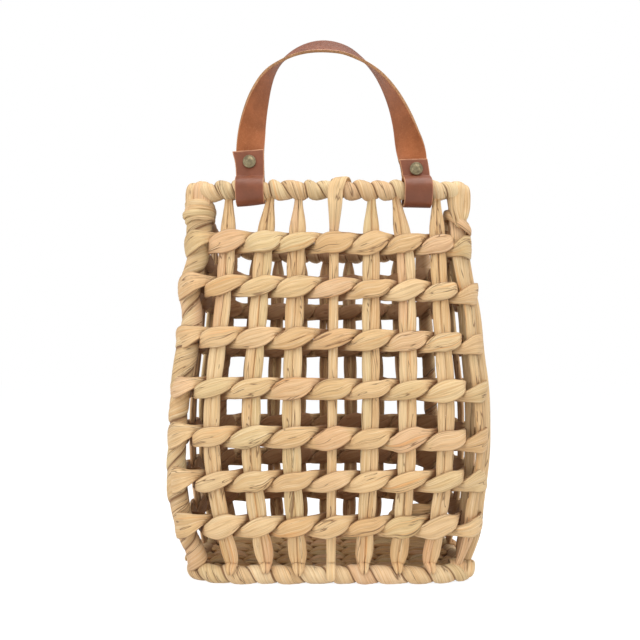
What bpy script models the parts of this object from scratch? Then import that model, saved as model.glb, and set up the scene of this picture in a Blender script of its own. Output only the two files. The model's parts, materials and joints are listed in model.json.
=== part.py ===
"""A hanging basket of twined plant strands with a riveted leather strap handle.

Run it in Blender 4.5 from the text editor, or with blender --background --python part.py.
Metres, +Z up. The wall that carries the handle faces -Y. The origin is the middle of the foot.
"""

import bpy
import bmesh
from math import acos, atan2, cos, degrees, hypot, pi, radians, sin
from mathutils import Vector

NAME = "wall_basket"
GAP = 0.0003
OVERRUN = 0.005
MERGE_DISTANCE = 0.00001

# Body
BODY_HEIGHT = 0.2815
FAR_RIM_DROP = 0.0193
NEAR_WIDTH = 0.225
FAR_WIDTH = 0.211
WALL_DEPTH = 0.144
FAR_BOW = 0.012
SIDE_BOW = 0.001
CORNER_INSET = 0.0086

# Swell of the wall: share of the height, share of the belly's width and depth
SWELL_SHARES = (
    (0.00, 0.890), (0.06, 0.912), (0.15, 0.956), (0.26, 0.991), (0.37, 1.000), (0.50, 0.986),
    (0.63, 0.950), (0.76, 0.922), (0.88, 0.902), (1.00, 0.898),
)

# Stakes: places along each wall, as shares of its half width. The near ones bend at four heights
NEAR_LEVEL_SHARES = (0.00, 0.37, 0.82, 1.00)
NEAR_STAKE_SHARES = (
    (-0.665, -0.427, -0.203, 0.020, 0.248, 0.490, 0.709),
    (-0.731, -0.483, -0.229, 0.026, 0.263, 0.497, 0.742),
    (-0.711, -0.457, -0.221, 0.043, 0.303, 0.545, 0.777),
    (-0.700, -0.401, -0.204, 0.044, 0.312, 0.477, 0.770),
)
FAR_STAKE_SHARES = (-0.695, -0.472, -0.240, 0.000, 0.225, 0.465, 0.695)
SIDE_STAKE_SHARES = (-0.480, 0.000, 0.480)
RIM_DROP_POWER = 6
MIDDLE_STAKE = 3

STAKE_WIDTH = 0.0125
STAKE_PINCH_WIDTH = 0.0090
STAKE_TOP_WIDTH = 0.0060
STAKE_TIP_WIDTH = 0.0050
STAKE_THICKNESS = 0.0032
MIDDLE_STAKE_WIDTH = 0.0070
POST_DIAMETER = 0.0135
POST_PINCH_DIAMETER = 0.0090
POST_EASE = 0.0009
STAKE_SIDES = 4
POST_SIDES = 6

# Twined rows: heights as shares of the body's height, from the foot to the rim
ROW_SHARES = (0.148, 0.263, 0.376, 0.497, 0.625, 0.756, 0.868)
STRAND_HEIGHT = 0.0150
STRAND_CROSSING_HEIGHT = 0.0082
STRAND_THICKNESS = 0.0054
STRAND_SLANT = 0.0014
STRAND_SIDES = 4
GRIP_SHARE = 0.68

# Ropes at the rim and the foot
RIM_DIAMETER = 0.0136
RIM_LOBE_DEPTH = 0.0012
RIM_LOBE_LENGTH = 0.0130
BORDER_DIAMETER = 0.0134
BORDER_LOBE_DEPTH = 0.0006
BORDER_LOBE_LENGTH = 0.0150
BORDER_FLAT_DEPTH = 0.0009
ROPE_SIDES = 8
RINGS_PER_LOBE = 2

# Base
BASE_HEIGHT = 0.0062
BASE_STAKE_WIDTH = 0.0090
BASE_STAKE_THICKNESS = 0.0030
BASE_WEAVER_PITCH = 0.0125
BASE_WEAVER_WIDTH = 0.0117
BASE_WEAVER_THICKNESS = 0.0026
BASE_TURN_WIDTH = 0.0050
BASE_TURN_STEPS = 4
BASE_STAKES = 7
BASE_SPREAD_SHARE = 0.76
BASE_FRONT_MARGIN = 0.0020
BASE_BACK_MARGIN = 0.0070

# Strap handle
STRAP_WIDTH = 0.0200
STRAP_THICKNESS = 0.0020
LOOP_PLACES = (-0.0560, 0.0631)
TAB_RISES = (0.0282, 0.0240)
RIVET_RISES = (0.0203, 0.0168)
LAYERS_MEET = 0.0118
LOOP_CLEARANCE = 0.0009
LOOP_STEPS = 9
HANDLE_RISE = 0.1041
# Each place of the arch: share of the half span, share of the rise, roll of the grain side in degrees
ARCH_SHARES = (
    (-1.000, 0.243, 90), (-0.985, 0.360, 74), (-0.950, 0.495, 52), (-0.888, 0.632, 32), (-0.788, 0.768, 8),
    (-0.651, 0.872, -18), (-0.490, 0.943, -33), (-0.300, 0.987, -43), (-0.090, 1.000, -47),
    (0.130, 0.977, -42), (0.320, 0.917, -31), (0.477, 0.844, -18), (0.614, 0.750, -3), (0.737, 0.629, 13),
    (0.837, 0.491, 31), (0.915, 0.367, 50), (0.975, 0.275, 74), (1.000, 0.208, 90),
)
ARCH_STEPS = 3

# Rivets
RIVET_DIAMETER = 0.0094
RIVET_DOME = 0.0022
RIVET_SKIRT = 0.0008
SHANK_DIAMETER = 0.0034
REAR_HEAD_DIAMETER = 0.0080
REAR_HEAD_THICKNESS = 0.0010
SOCKET_DEPTH = 0.0012
RIVET_SIDES = 16
DOME_STEPS = 3

FIBRE = ((0.75, 0.54, 0.31), 0.80, 0.0)
LEATHER = ((0.33, 0.13, 0.06), 0.55, 0.0)
BRASS = ((0.30, 0.23, 0.14), 0.40, 0.9)

# Uprights, counted round the basket from the near left corner
NEAR_POSTS = (0, 8)
FAR_POSTS = (12, 20)
UPRIGHTS = 24
SLOPE_STEP_SHARE = 0.02
HALVINGS = 30


def clear_scene():
    """Remove what the file holds."""
    for old in list(bpy.data.objects):
        bpy.data.objects.remove(old, do_unlink=True)


def smooth_read(table, place):
    """A value at a place, from a smooth curve through a table of (place, value)."""
    last = len(table) - 1
    cell = 0
    while cell < last - 1 and place > table[cell + 1][0]:
        cell += 1
    slopes = []
    for k in (cell, cell + 1):
        low = table[max(k - 1, 0)]
        high = table[min(k + 1, last)]
        slopes.append((high[1] - low[1]) / (high[0] - low[0]))
    start, end = table[cell], table[cell + 1]
    span = end[0] - start[0]
    u = (place - start[0]) / span
    return (
        (2 * u ** 3 - 3 * u ** 2 + 1) * start[1] + (u ** 3 - 2 * u ** 2 + u) * span * slopes[0]
        + (3 * u ** 2 - 2 * u ** 3) * end[1] + (u ** 3 - u ** 2) * span * slopes[1]
    )


def through(points, u):
    """A point on the smooth curve through four points, between the middle two."""
    a, b, c, d = points
    return (
        b * 2 + (c - a) * u + (a * 2 - b * 5 + c * 4 - d) * u ** 2 + (b * 3 - a - c * 3 + d) * u ** 3
    ) / 2


def near_share(stake, level):
    """A near stake's place, as a share of the near wall's half width."""
    shares = [row[stake] for row in NEAR_STAKE_SHARES]
    return smooth_read(list(zip(NEAR_LEVEL_SHARES, shares)), level)


def upright_place(index, level):
    """Where an upright stands in plan, at a share of the body's height."""
    index %= UPRIGHTS
    swell = smooth_read(SWELL_SHARES, level)
    near = NEAR_WIDTH / 2 * swell
    far = FAR_WIDTH / 2 * swell
    inset = CORNER_INSET * swell
    front = -WALL_DEPTH / 2 * swell
    back = WALL_DEPTH / 2 * swell
    first_right, first_left = NEAR_POSTS[1], FAR_POSTS[1]
    if index in NEAR_POSTS:
        side = -1 if index == 0 else 1
        return Vector((side * (near - inset), front + inset, 0))
    if index in FAR_POSTS:
        side = 1 if index == FAR_POSTS[0] else -1
        return Vector((side * (far - inset), back - FAR_BOW - inset, 0))
    if index < first_right:
        return Vector((near_share(index - 1, level) * near, front, 0))
    if FAR_POSTS[0] < index < FAR_POSTS[1]:
        share = FAR_STAKE_SHARES[FAR_POSTS[1] - index - 1]
        return Vector((share * far, back - FAR_BOW * share ** 2, 0))
    if index < FAR_POSTS[0]:
        share = SIDE_STAKE_SHARES[index - first_right - 1]
        side = 1
    else:
        share = -SIDE_STAKE_SHARES[index - first_left - 1]
        side = -1
    along = (share + 1) / 2
    x = near + (far - near) * along + SIDE_BOW * (1 - share ** 2)
    return Vector((side * x, front + (back - FAR_BOW - front) * along, 0))


def wall(turn, level):
    """A point of the wall's middle surface. Turn counts uprights, level is a share of the height."""
    cell = int(turn // 1)
    u = turn - cell
    point = through([upright_place(cell + k, level) for k in (-1, 0, 1, 2)], u)
    depth = WALL_DEPTH * smooth_read(SWELL_SHARES, level)
    farness = 0.5 + point.y / depth
    point.z = BODY_HEIGHT * level - FAR_RIM_DROP * level ** RIM_DROP_POWER * farness
    return point


def level_at(turn, height):
    """The share of the body's height at which the wall reaches a real height."""
    low, high = 0.0, 1.0
    for _ in range(HALVINGS):
        middle = (low + high) / 2
        if wall(turn, middle).z < height:
            low = middle
        else:
            high = middle
    return low


def along_wall(turn, level):
    """The wall's direction and its length for one upright's turn, in plan."""
    step = SLOPE_STEP_SHARE
    run = (wall(turn + step, level) - wall(turn - step, level)) / (2 * step)
    run.z = 0
    return run


def outward(turn, level):
    """The level direction out of the wall."""
    run = along_wall(turn, level)
    return Vector((run.y, -run.x, 0)).normalized()


def collection(name):
    """A collection of this name in the scene."""
    made = bpy.data.collections.new(name)
    bpy.context.scene.collection.children.link(made)
    return made


def material(name, finish):
    """A Principled material from a colour, a roughness and a metallic value."""
    colour, roughness, metallic = finish
    made = bpy.data.materials.new(name)
    made.use_nodes = True
    shader = made.node_tree.nodes["Principled BSDF"]
    shader.inputs["Base Color"].default_value = (*colour, 1)
    shader.inputs["Roughness"].default_value = roughness
    shader.inputs["Metallic"].default_value = metallic
    made.diffuse_color = (*colour, 1)
    return made


def add_object(name, data, finish, parts, parent=None):
    """Put an object with its own material into the parts' collection."""
    made = bpy.data.objects.new(name, data)
    data.materials.append(material(name, finish))
    parts.objects.link(made)
    if parent:
        made.parent = parent
        made.matrix_parent_inverse = parent.matrix_world.inverted()
    return made


def loft(mesh, rings, closed):
    """Add one solid through rings of points. The rings run round it as seen along the loft."""
    rows = [[mesh.verts.new(point) for point in ring] for ring in rings]
    sides = len(rows[0])
    spans = list(zip(rows, rows[1:]))
    if closed:
        spans.append((rows[-1], rows[0]))
    else:
        mesh.faces.new(rows[0][::-1])
        mesh.faces.new(rows[-1])
    for low, high in spans:
        for k in range(sides):
            mesh.faces.new((low[k], low[(k + 1) % sides], high[(k + 1) % sides], high[k]))


def lofted(name, solids, closed, finish, parts):
    """An object of one or more lofts through unlike sections."""
    mesh = bmesh.new()
    for rings in solids:
        loft(mesh, rings, closed)
    bmesh.ops.recalc_face_normals(mesh, faces=mesh.faces)
    data = bpy.data.meshes.new(name)
    mesh.to_mesh(data)
    mesh.free()
    data.shade_smooth()
    return add_object(name, data, finish, parts)


def half_width(index):
    """Half an upright's width between the rows."""
    if index in NEAR_POSTS + FAR_POSTS:
        return POST_DIAMETER / 2
    if index - 1 == MIDDLE_STAKE:
        return MIDDLE_STAKE_WIDTH / 2
    return STAKE_WIDTH / 2


def half_thickness(index):
    """Half an upright's thickness through the wall, inside a row."""
    if index in NEAR_POSTS + FAR_POSTS:
        return POST_PINCH_DIAMETER / 2
    return STAKE_THICKNESS / 2


def pinched_width(index):
    """Half an upright's width inside a row."""
    if index in NEAR_POSTS + FAR_POSTS:
        return POST_PINCH_DIAMETER / 2
    return min(half_width(index), STAKE_PINCH_WIDTH / 2)


def upright(name, index, parts):
    """A stake or a corner post that follows the wall from the foot's rope to the rim's."""
    low = (2 * border_radius() - BORDER_FLAT_DEPTH + GAP) / BODY_HEIGHT
    post = index in NEAR_POSTS + FAR_POSTS
    edge = half_width(index) / along_wall(index, 1).length
    rim = min(wall(index + side * edge, 1).z for side in (-1, 0, 1))
    high = level_at(index, rim - RIM_DIAMETER / 2 - GAP)
    full = half_width(index)
    pinched = pinched_width(index)
    top = full if post else min(full, STAKE_TOP_WIDTH / 2)
    tip = full if post else min(full, STAKE_TIP_WIDTH / 2)
    stations = [(low, tip)]
    for level, above in zip(ROW_SHARES, ROW_SHARES[1:]):
        stations += [(level, pinched), ((level + above) / 2, full)]
    stations += [(ROW_SHARES[-1], pinched), (high, top)]
    rings = []
    sides = POST_SIDES if post else STAKE_SIDES
    for level, width in stations:
        thick = width if post else STAKE_THICKNESS / 2
        middle = wall(index, level)
        across = along_wall(index, level).normalized() * width
        through_wall = outward(index, level) * thick
        turns = [2 * pi * k / sides for k in range(sides)]
        rings.append([middle + across * cos(a) + through_wall * sin(a) for a in turns])
    return lofted(name, [rings], False, FIBRE, parts)


def strand_rings(level, phase):
    """The sections of one strand of a twined row, all round the basket."""
    rings = []
    narrow = STRAND_CROSSING_HEIGHT / 2
    thick = STRAND_THICKNESS / 2
    for index in range(UPRIGHTS):
        side = 1 if (index + phase) % 2 == 0 else -1
        ease = POST_EASE if index in NEAR_POSTS + FAR_POSTS else 0
        reach = side * (half_thickness(index) + GAP + thick + ease)
        edge = pinched_width(index) / along_wall(index, level).length
        beyond = (index + 1) % UPRIGHTS
        next_edge = pinched_width(beyond) / along_wall(beyond, level).length
        crossing = index + (edge + 1 - next_edge) / 2
        places = (
            (index - edge * GRIP_SHARE, reach, -side * STRAND_SLANT, STRAND_HEIGHT / 2),
            (index + edge * GRIP_SHARE, reach, side * STRAND_SLANT, STRAND_HEIGHT / 2),
            (crossing, 0, side * (narrow + GAP / 2), narrow),
        )
        for turn, out, rise, tall in places:
            away = outward(turn, level)
            ring = []
            for k in range(STRAND_SIDES):
                a = 2 * pi * k / STRAND_SIDES
                height = level + (rise + tall * sin(a)) / BODY_HEIGHT
                ring.append(wall(turn, height) + away * (out + thick * cos(a)))
            rings.append(ring)
    return rings


def border_radius():
    """The foot rope's largest radius."""
    return BORDER_DIAMETER / 2


def rope(name, level, diameter, lobe_depth, lobe_length, parts, guides):
    """A rope round the basket: a flattened section that turns along a closed curve."""
    length = sum((wall((k + 1) / 4, level) - wall(k / 4, level)).length for k in range(UPRIGHTS * 4))
    lobes = 2 * round(length / lobe_length / 2)
    points = lobes * RINGS_PER_LOBE
    outline = bpy.data.curves.new(name + "_section", "CURVE")
    section = outline.splines.new("POLY")
    section.points.add(ROPE_SIDES - 1)
    for k, point in enumerate(section.points):
        a = 2 * pi * k / ROPE_SIDES
        point.co = (diameter / 2 * cos(a), (diameter / 2 - lobe_depth) * sin(a), 0, 1)
    section.use_cyclic_u = True
    guide = bpy.data.objects.new(name + "_section", outline)
    guide.hide_render = True
    guide.display_type = "WIRE"
    guides.objects.link(guide)
    curve = bpy.data.curves.new(name, "CURVE")
    curve.dimensions = "3D"
    curve.twist_mode = "Z_UP"
    curve.bevel_mode = "OBJECT"
    curve.bevel_object = guide
    spline = curve.splines.new("POLY")
    spline.points.add(points - 1)
    for k, point in enumerate(spline.points):
        point.co = (*wall(UPRIGHTS * k / points, level), 1)
        point.tilt = -2 * pi * (lobes / 2) * k / points
    spline.use_cyclic_u = True
    return add_object(name, curve, FIBRE, parts)


def as_mesh(curved):
    """Replace a curve object by the mesh that it draws."""
    bpy.context.view_layer.update()
    graph = bpy.context.evaluated_depsgraph_get()
    data = bpy.data.meshes.new_from_object(curved.evaluated_get(graph))
    mesh = bmesh.new()
    mesh.from_mesh(data)
    bmesh.ops.remove_doubles(mesh, verts=mesh.verts, dist=MERGE_DISTANCE)
    bmesh.ops.recalc_face_normals(mesh, faces=mesh.faces)
    mesh.to_mesh(data)
    mesh.free()
    name = curved.name
    matrix = curved.matrix_world.copy()
    home = curved.users_collection[0]
    bpy.data.objects.remove(curved)
    made = bpy.data.objects.new(name, data)
    made.matrix_world = matrix
    home.objects.link(made)
    return made


def cut(target, cutter):
    """Take a cutter's solid out of an object."""
    change = target.modifiers.new("cut " + cutter.name, "BOOLEAN")
    change.operation = "DIFFERENCE"
    change.object = cutter
    change.solver = "EXACT"


def keep_as_cutter(made, cutters):
    """Hide a cutter and put it into the cutters' collection."""
    for home in list(made.users_collection):
        home.objects.unlink(made)
    cutters.objects.link(made)
    made.hide_render = True
    made.display_type = "WIRE"
    return made


def cylinder(name, diameter, length, centre, sides):
    """A cylinder with its axis along Y."""
    bpy.ops.mesh.primitive_cylinder_add(
        vertices=sides, radius=diameter / 2, depth=length, location=centre, rotation=(pi / 2, 0, 0))
    made = bpy.context.object
    made.name = name
    return made


def foot_level():
    """The foot rope's height, as a share of the body's."""
    return (border_radius() - BORDER_FLAT_DEPTH) / BODY_HEIGHT


def build_border(parts, cutters):
    """The foot's rope, cut flat where it stands."""
    level = foot_level()
    border = as_mesh(rope("border_rope", level, BORDER_DIAMETER, BORDER_LOBE_DEPTH, BORDER_LOBE_LENGTH,
                          parts, cutters))
    bpy.ops.mesh.primitive_cube_add(size=1, location=(0, 0, -OVERRUN / 2))
    floor = bpy.context.object
    floor.name = "floor_cutter"
    floor.scale = (NEAR_WIDTH + OVERRUN, WALL_DEPTH + OVERRUN, OVERRUN)
    cut(border, keep_as_cutter(floor, cutters))
    return border


def base_reach(y, side, half):
    """How far a strip of the base, centred at y, runs to one side before the foot's rope."""
    clear = border_radius() + GAP
    steps = UPRIGHTS * 8
    nearest = NEAR_WIDTH
    for k in range(steps):
        point = wall(UPRIGHTS * k / steps, foot_level())
        if point.x * side > 0 and abs(point.y - y) < half + clear:
            nearest = min(nearest, abs(point.x) - clear)
    return nearest


def base_edges():
    """Where the base stakes end at the near and the far side, just inside the foot's rope."""
    clear = border_radius() + GAP
    near, far = (wall(posts[0] + 1, foot_level()).y for posts in (NEAR_POSTS, FAR_POSTS))
    return near + clear, far - clear


def base_rows():
    """The weaver's rows across the floor, from the near side to the far side."""
    near, far = base_edges()
    front = near + BASE_WEAVER_WIDTH / 2 + BASE_FRONT_MARGIN
    back = far - BASE_WEAVER_WIDTH / 2 - BASE_BACK_MARGIN
    count = round((back - front) / BASE_WEAVER_PITCH) + 1
    pitch = (back - front) / (count - 1)
    return [front + pitch * row for row in range(count)]


def base_places(rows):
    """The near and far ends of the base stakes, spread over the room that the rows have."""
    near, far = base_edges()
    near_room, far_room = (min(row_end(row, rows, side) for side in (-1, 1)) for row in (0, len(rows) - 1))
    places = []
    for k in range(BASE_STAKES):
        share = BASE_SPREAD_SHARE * (2 * k / (BASE_STAKES - 1) - 1)
        places.append((Vector((share * near_room, near, 0)), Vector((share * far_room, far, 0))))
    return places


def build_base(parts):
    """The stakes across the floor and the strand woven over and under them."""
    half = BASE_STAKE_WIDTH / 2
    thick = BASE_STAKE_THICKNESS / 2
    rows = base_rows()
    places = base_places(rows)
    corners = ((half, 0), (half / 2, thick), (-half / 2, thick), (-half, 0), (-half / 2, -thick),
               (half / 2, -thick))
    for k, ends in enumerate(places):
        rings = [[Vector((end.x + x, end.y, BASE_HEIGHT + z)) for x, z in corners] for end in ends]
        lofted(f"base_stake_{k + 1}", [rings], False, FIBRE, parts)
    rings = []
    for row, y in enumerate(rows):
        rings += base_row(row, rows, places)
        if row + 1 < len(rows):
            rings += base_turn(row, rows)
    lofted("base_weaver", [rings], False, FIBRE, parts)


def base_section(place, across, rise, width):
    """The base weaver's diamond section at a place, with its width along a level direction."""
    half = across * width / 2
    thick = Vector((0, 0, BASE_WEAVER_THICKNESS / 2))
    middle = place + Vector((0, 0, rise))
    return [middle - half, middle - thick, middle + half, middle + thick]


def row_end(row, rows, side):
    """How far a row runs to one side. It shares the end with the row that its turn leads to."""
    way = 1 if row % 2 == 0 else -1
    linked = min(max(row + side * way, 0), len(rows) - 1)
    room = (rows[1] - rows[0] + BASE_TURN_WIDTH) / 2
    half = BASE_WEAVER_WIDTH / 2
    return min(base_reach(rows[k], side, half) for k in (row, linked)) - room


def base_row(row, rows, places):
    """The weaver across the floor once, over one stake and under the next."""
    offset = (BASE_STAKE_THICKNESS + BASE_WEAVER_THICKNESS) / 2 + GAP
    hold = BASE_STAKE_WIDTH / 2
    way = 1 if row % 2 == 0 else -1
    y = rows[row]
    left, right = -row_end(row, rows, -1), row_end(row, rows, 1)
    stations = [(left, 0, BASE_TURN_WIDTH)]
    for k, (near, far) in enumerate(places):
        share = (y - near.y) / (far.y - near.y)
        x = near.x + (far.x - near.x) * share
        rise = offset if (k + row) % 2 == 0 else -offset
        if left < x - hold and x + hold < right:
            stations += [(x - hold, rise, BASE_WEAVER_WIDTH), (x + hold, rise, BASE_WEAVER_WIDTH)]
    stations.append((right, 0, BASE_TURN_WIDTH))
    return [base_section(Vector((x, y, BASE_HEIGHT)), Vector((0, way, 0)), rise, width)
            for x, rise, width in stations[::way]]


def base_turn(row, rows):
    """The weaver's bend at the end of a row, back towards the next."""
    way = 1 if row % 2 == 0 else -1
    radius = (rows[1] - rows[0]) / 2
    end = way * row_end(row, rows, way)
    rings = []
    for k in range(1, BASE_TURN_STEPS):
        a = pi * k / BASE_TURN_STEPS - pi / 2
        place = Vector((end + way * radius * cos(a), rows[row] + radius * (1 + sin(a)), BASE_HEIGHT))
        rings.append(base_section(place, Vector((-cos(a), -way * sin(a), 0)), 0, BASE_TURN_WIDTH))
    return rings


def loop_route(tab):
    """The strap round the rim, seen from the end: tab, bend under the rope, and up behind.

    Each place is (out of the wall, above the rim's centre)."""
    layer = (STRAP_THICKNESS + GAP) / 2
    radius = RIM_DIAMETER / 2 + LOOP_CLEARANCE + STRAP_THICKNESS / 2
    far = hypot(layer, LAYERS_MEET)
    touch = degrees(atan2(LAYERS_MEET, layer)) - degrees(acos(radius / far))
    arc = [touch - (touch + 90) * 2 * k / LOOP_STEPS for k in range(LOOP_STEPS + 1)]
    route = [(layer, tab), (layer, LAYERS_MEET + STRAP_THICKNESS), (layer, LAYERS_MEET)]
    route += [(radius * cos(radians(a)), radius * sin(radians(a))) for a in arc]
    route += [(-layer, LAYERS_MEET), (-layer, LAYERS_MEET + STRAP_THICKNESS)]
    return route


def strap_stations(axis):
    """Places along the strap, each a centre and the direction of the strap's width."""
    middle = sum(LOOP_PLACES) / 2
    half_span = (LOOP_PLACES[1] - LOOP_PLACES[0]) / 2
    layer = (STRAP_THICKNESS + GAP) / 2
    across = Vector((-1, 0, 0))
    left = [(axis + Vector((LOOP_PLACES[0], -out, up)), across) for out, up in loop_route(TAB_RISES[0])]
    right = [(axis + Vector((LOOP_PLACES[1], -out, up)), -across) for out, up in loop_route(TAB_RISES[1])]
    stations = left[:-1]
    knots = [left[-1][0]]
    rolls = [90]
    for x, z, roll in ARCH_SHARES:
        knots.append(axis + Vector((middle + x * half_span, layer, z * HANDLE_RISE)))
        rolls.append(roll)
    knots.append(right[-1][0])
    rolls.append(90)
    padded = [left[-2][0], *knots, right[-2][0]]
    padded_rolls = [90, *rolls, 90]
    arch = []
    for k in range(len(knots) - 1):
        for step in range(ARCH_STEPS):
            u = step / ARCH_STEPS
            arch.append((through(padded[k:k + 4], u), through(padded_rolls[k:k + 4], u)))
    arch.append((knots[-1], 90))
    for k, (place, roll) in enumerate(arch):
        before = arch[k - 1][0] if k else left[-2][0]
        after = arch[k + 1][0] if k + 1 < len(arch) else right[-2][0]
        tangent = (after - before).normalized()
        radial = tangent.cross(Vector((0, 1, 0))).normalized()
        grain = radial * cos(radians(roll)) + Vector((0, 1, 0)) * sin(radians(roll))
        stations.append((place, tangent.cross(grain).normalized()))
    return stations + right[-2::-1]


def build_handle(pivot, parts, cutters):
    """One leather strap from tab to tab, with a hole through both layers at each end."""
    axis = Vector(pivot.location)
    stations = strap_stations(axis)
    mesh = bmesh.new()
    bmesh.ops.create_grid(mesh, x_segments=len(stations) - 1, y_segments=1, size=1)
    mesh.verts.ensure_lookup_table()
    order = sorted(mesh.verts, key=lambda v: (round(v.co.x, 5), v.co.y))
    for k, (place, width) in enumerate(stations):
        order[2 * k].co = place - width * STRAP_WIDTH / 2
        order[2 * k + 1].co = place + width * STRAP_WIDTH / 2
    data = bpy.data.meshes.new("handle_strap")
    mesh.to_mesh(data)
    mesh.free()
    strap = add_object("handle_strap", data, LEATHER, parts, pivot)
    shell = strap.modifiers.new("thickness", "SOLIDIFY")
    shell.thickness = STRAP_THICKNESS
    shell.offset = 0
    for k, (x, rise) in enumerate(zip(LOOP_PLACES, RIVET_RISES)):
        centre = axis + Vector((x, 0, rise))
        punch = cylinder(f"rivet_punch_{k + 1}", SHANK_DIAMETER + 2 * GAP, 4 * STRAP_THICKNESS, centre,
                         RIVET_SIDES)
        cut(strap, keep_as_cutter(punch, cutters))
    return strap


def turned(name, profile, centre, parts, pivot):
    """A solid turned from a profile of (radius, height), top to bottom, with its axis along -Y."""
    mesh = bmesh.new()
    points = [mesh.verts.new((radius, 0, height)) for radius, height in profile]
    for high, low in zip(points, points[1:]):
        mesh.edges.new((high, low))
    data = bpy.data.meshes.new(name)
    mesh.to_mesh(data)
    mesh.free()
    made = add_object(name, data, BRASS, parts, pivot)
    made.location = centre
    made.rotation_euler = (pi / 2, 0, 0)
    spin = made.modifiers.new("turning", "SCREW")
    spin.steps = RIVET_SIDES
    spin.render_steps = RIVET_SIDES
    spin.use_merge_vertices = True
    spin.merge_threshold = MERGE_DISTANCE
    return made


def build_rivets(pivot, parts):
    """Domed caps on the tabs, and posts with flat heads behind the legs."""
    face = STRAP_THICKNESS + GAP / 2 + GAP
    radius = RIVET_DIAMETER / 2
    bore = SHANK_DIAMETER / 2 + GAP
    steps = [pi / 2 * (1 - k / (DOME_STEPS + 1)) for k in range(1, DOME_STEPS + 2)]
    dome = [(radius * cos(a), face + RIVET_SKIRT + RIVET_DOME * sin(a)) for a in steps]
    floor = face + SOCKET_DEPTH
    crown = (0, face + RIVET_SKIRT + RIVET_DOME)
    cap = [crown, *dome, (radius, face), (bore, face), (bore, floor), (0, floor)]
    shank = SHANK_DIAMETER / 2
    head = REAR_HEAD_DIAMETER / 2
    end = floor - GAP
    rear = -face - REAR_HEAD_THICKNESS
    post = [(0, end), (shank, end), (shank, -face), (head, -face), (head, rear), (0, rear)]
    for side, x, rise in zip(("left", "right"), LOOP_PLACES, RIVET_RISES):
        centre = Vector(pivot.location) + Vector((x, 0, rise))
        turned(f"rivet_cap_{side}", cap, centre, parts, pivot)
        turned(f"rivet_post_{side}", post, centre, parts, pivot)


def build():
    """Model the whole basket."""
    clear_scene()
    parts = collection(NAME)
    cutters = collection("cutters")
    names = {0: "corner_post_near_left", 8: "corner_post_near_right",
             12: "corner_post_far_right", 20: "corner_post_far_left"}
    for index in range(UPRIGHTS):
        if index < NEAR_POSTS[1]:
            name = f"near_stake_{index}"
        elif index < FAR_POSTS[0]:
            name = f"right_stake_{index - NEAR_POSTS[1]}"
        elif index < FAR_POSTS[1]:
            name = f"far_stake_{index - FAR_POSTS[0]}"
        else:
            name = f"left_stake_{index - FAR_POSTS[1]}"
        upright(names.get(index, name), index, parts)
    for row, level in enumerate(ROW_SHARES):
        for phase, letter in enumerate("ab"):
            name = f"row_{row + 1}_strand_{letter}"
            lofted(name, [strand_rings(level, phase)], True, FIBRE, parts)
    as_mesh(rope("rim_rope", 1, RIM_DIAMETER, RIM_LOBE_DEPTH, RIM_LOBE_LENGTH, parts, cutters))
    build_border(parts, cutters)
    build_base(parts)
    pivot = bpy.data.objects.new("handle_axis", None)
    pivot.location = (0, wall(NEAR_POSTS[1] / 2, 1).y, BODY_HEIGHT)
    parts.objects.link(pivot)
    bpy.context.view_layer.update()
    build_handle(pivot, parts, cutters)
    build_rivets(pivot, parts)


build()
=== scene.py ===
"""Looks of the wall basket: twined plant strands, wound ropes, a leather strap and its rivets.

Metres, +Z up. The wall that carries the strap faces -Y, and the origin is the middle of the foot.
"""

import json
from math import acos, atan2, ceil, cos, degrees, hypot, pi, radians, sin

import bpy
import numpy as np
from bpy.props import FloatProperty, FloatVectorProperty, PointerProperty
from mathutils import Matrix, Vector

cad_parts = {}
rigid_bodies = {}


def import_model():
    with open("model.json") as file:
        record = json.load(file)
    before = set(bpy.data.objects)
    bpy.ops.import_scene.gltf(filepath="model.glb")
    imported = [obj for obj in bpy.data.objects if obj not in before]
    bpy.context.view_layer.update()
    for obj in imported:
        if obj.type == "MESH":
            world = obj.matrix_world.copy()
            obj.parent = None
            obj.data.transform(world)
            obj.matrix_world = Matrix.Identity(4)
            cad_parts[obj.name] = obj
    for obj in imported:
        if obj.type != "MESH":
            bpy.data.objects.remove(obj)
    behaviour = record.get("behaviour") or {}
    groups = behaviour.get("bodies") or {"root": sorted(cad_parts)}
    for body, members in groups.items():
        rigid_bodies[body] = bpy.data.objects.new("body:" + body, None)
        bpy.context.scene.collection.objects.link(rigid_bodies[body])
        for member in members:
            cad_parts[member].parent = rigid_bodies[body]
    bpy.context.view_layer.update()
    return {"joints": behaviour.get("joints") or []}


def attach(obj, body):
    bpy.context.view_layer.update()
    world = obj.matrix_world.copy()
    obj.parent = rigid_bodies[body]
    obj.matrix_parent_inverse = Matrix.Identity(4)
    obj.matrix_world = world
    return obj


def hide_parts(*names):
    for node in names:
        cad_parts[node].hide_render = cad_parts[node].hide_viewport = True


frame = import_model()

bl_info = {
    "name": "Wall basket looks",
    "version": (1, 0, 0),
    "blender": (4, 5, 0),
    "location": "View3D > Sidebar > Basket",
    "description": "Dresses the wall basket in plant strands, leather and brass",
    "category": "Object",
}

# Body, in the same real sizes as the solids
GAP = 0.0003
BODY_HEIGHT = 0.2815
FAR_RIM_DROP = 0.0193
NEAR_WIDTH = 0.225
FAR_WIDTH = 0.211
WALL_DEPTH = 0.144
FAR_BOW = 0.012
SIDE_BOW = 0.001
CORNER_INSET = 0.0086

# Swell of the wall: share of the height, share of the belly's width and depth
SWELL_SHARES = (
    (0.00, 0.890), (0.06, 0.912), (0.15, 0.956), (0.26, 0.991), (0.37, 1.000), (0.50, 0.986),
    (0.63, 0.950), (0.76, 0.922), (0.88, 0.902), (1.00, 0.898),
)

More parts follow.
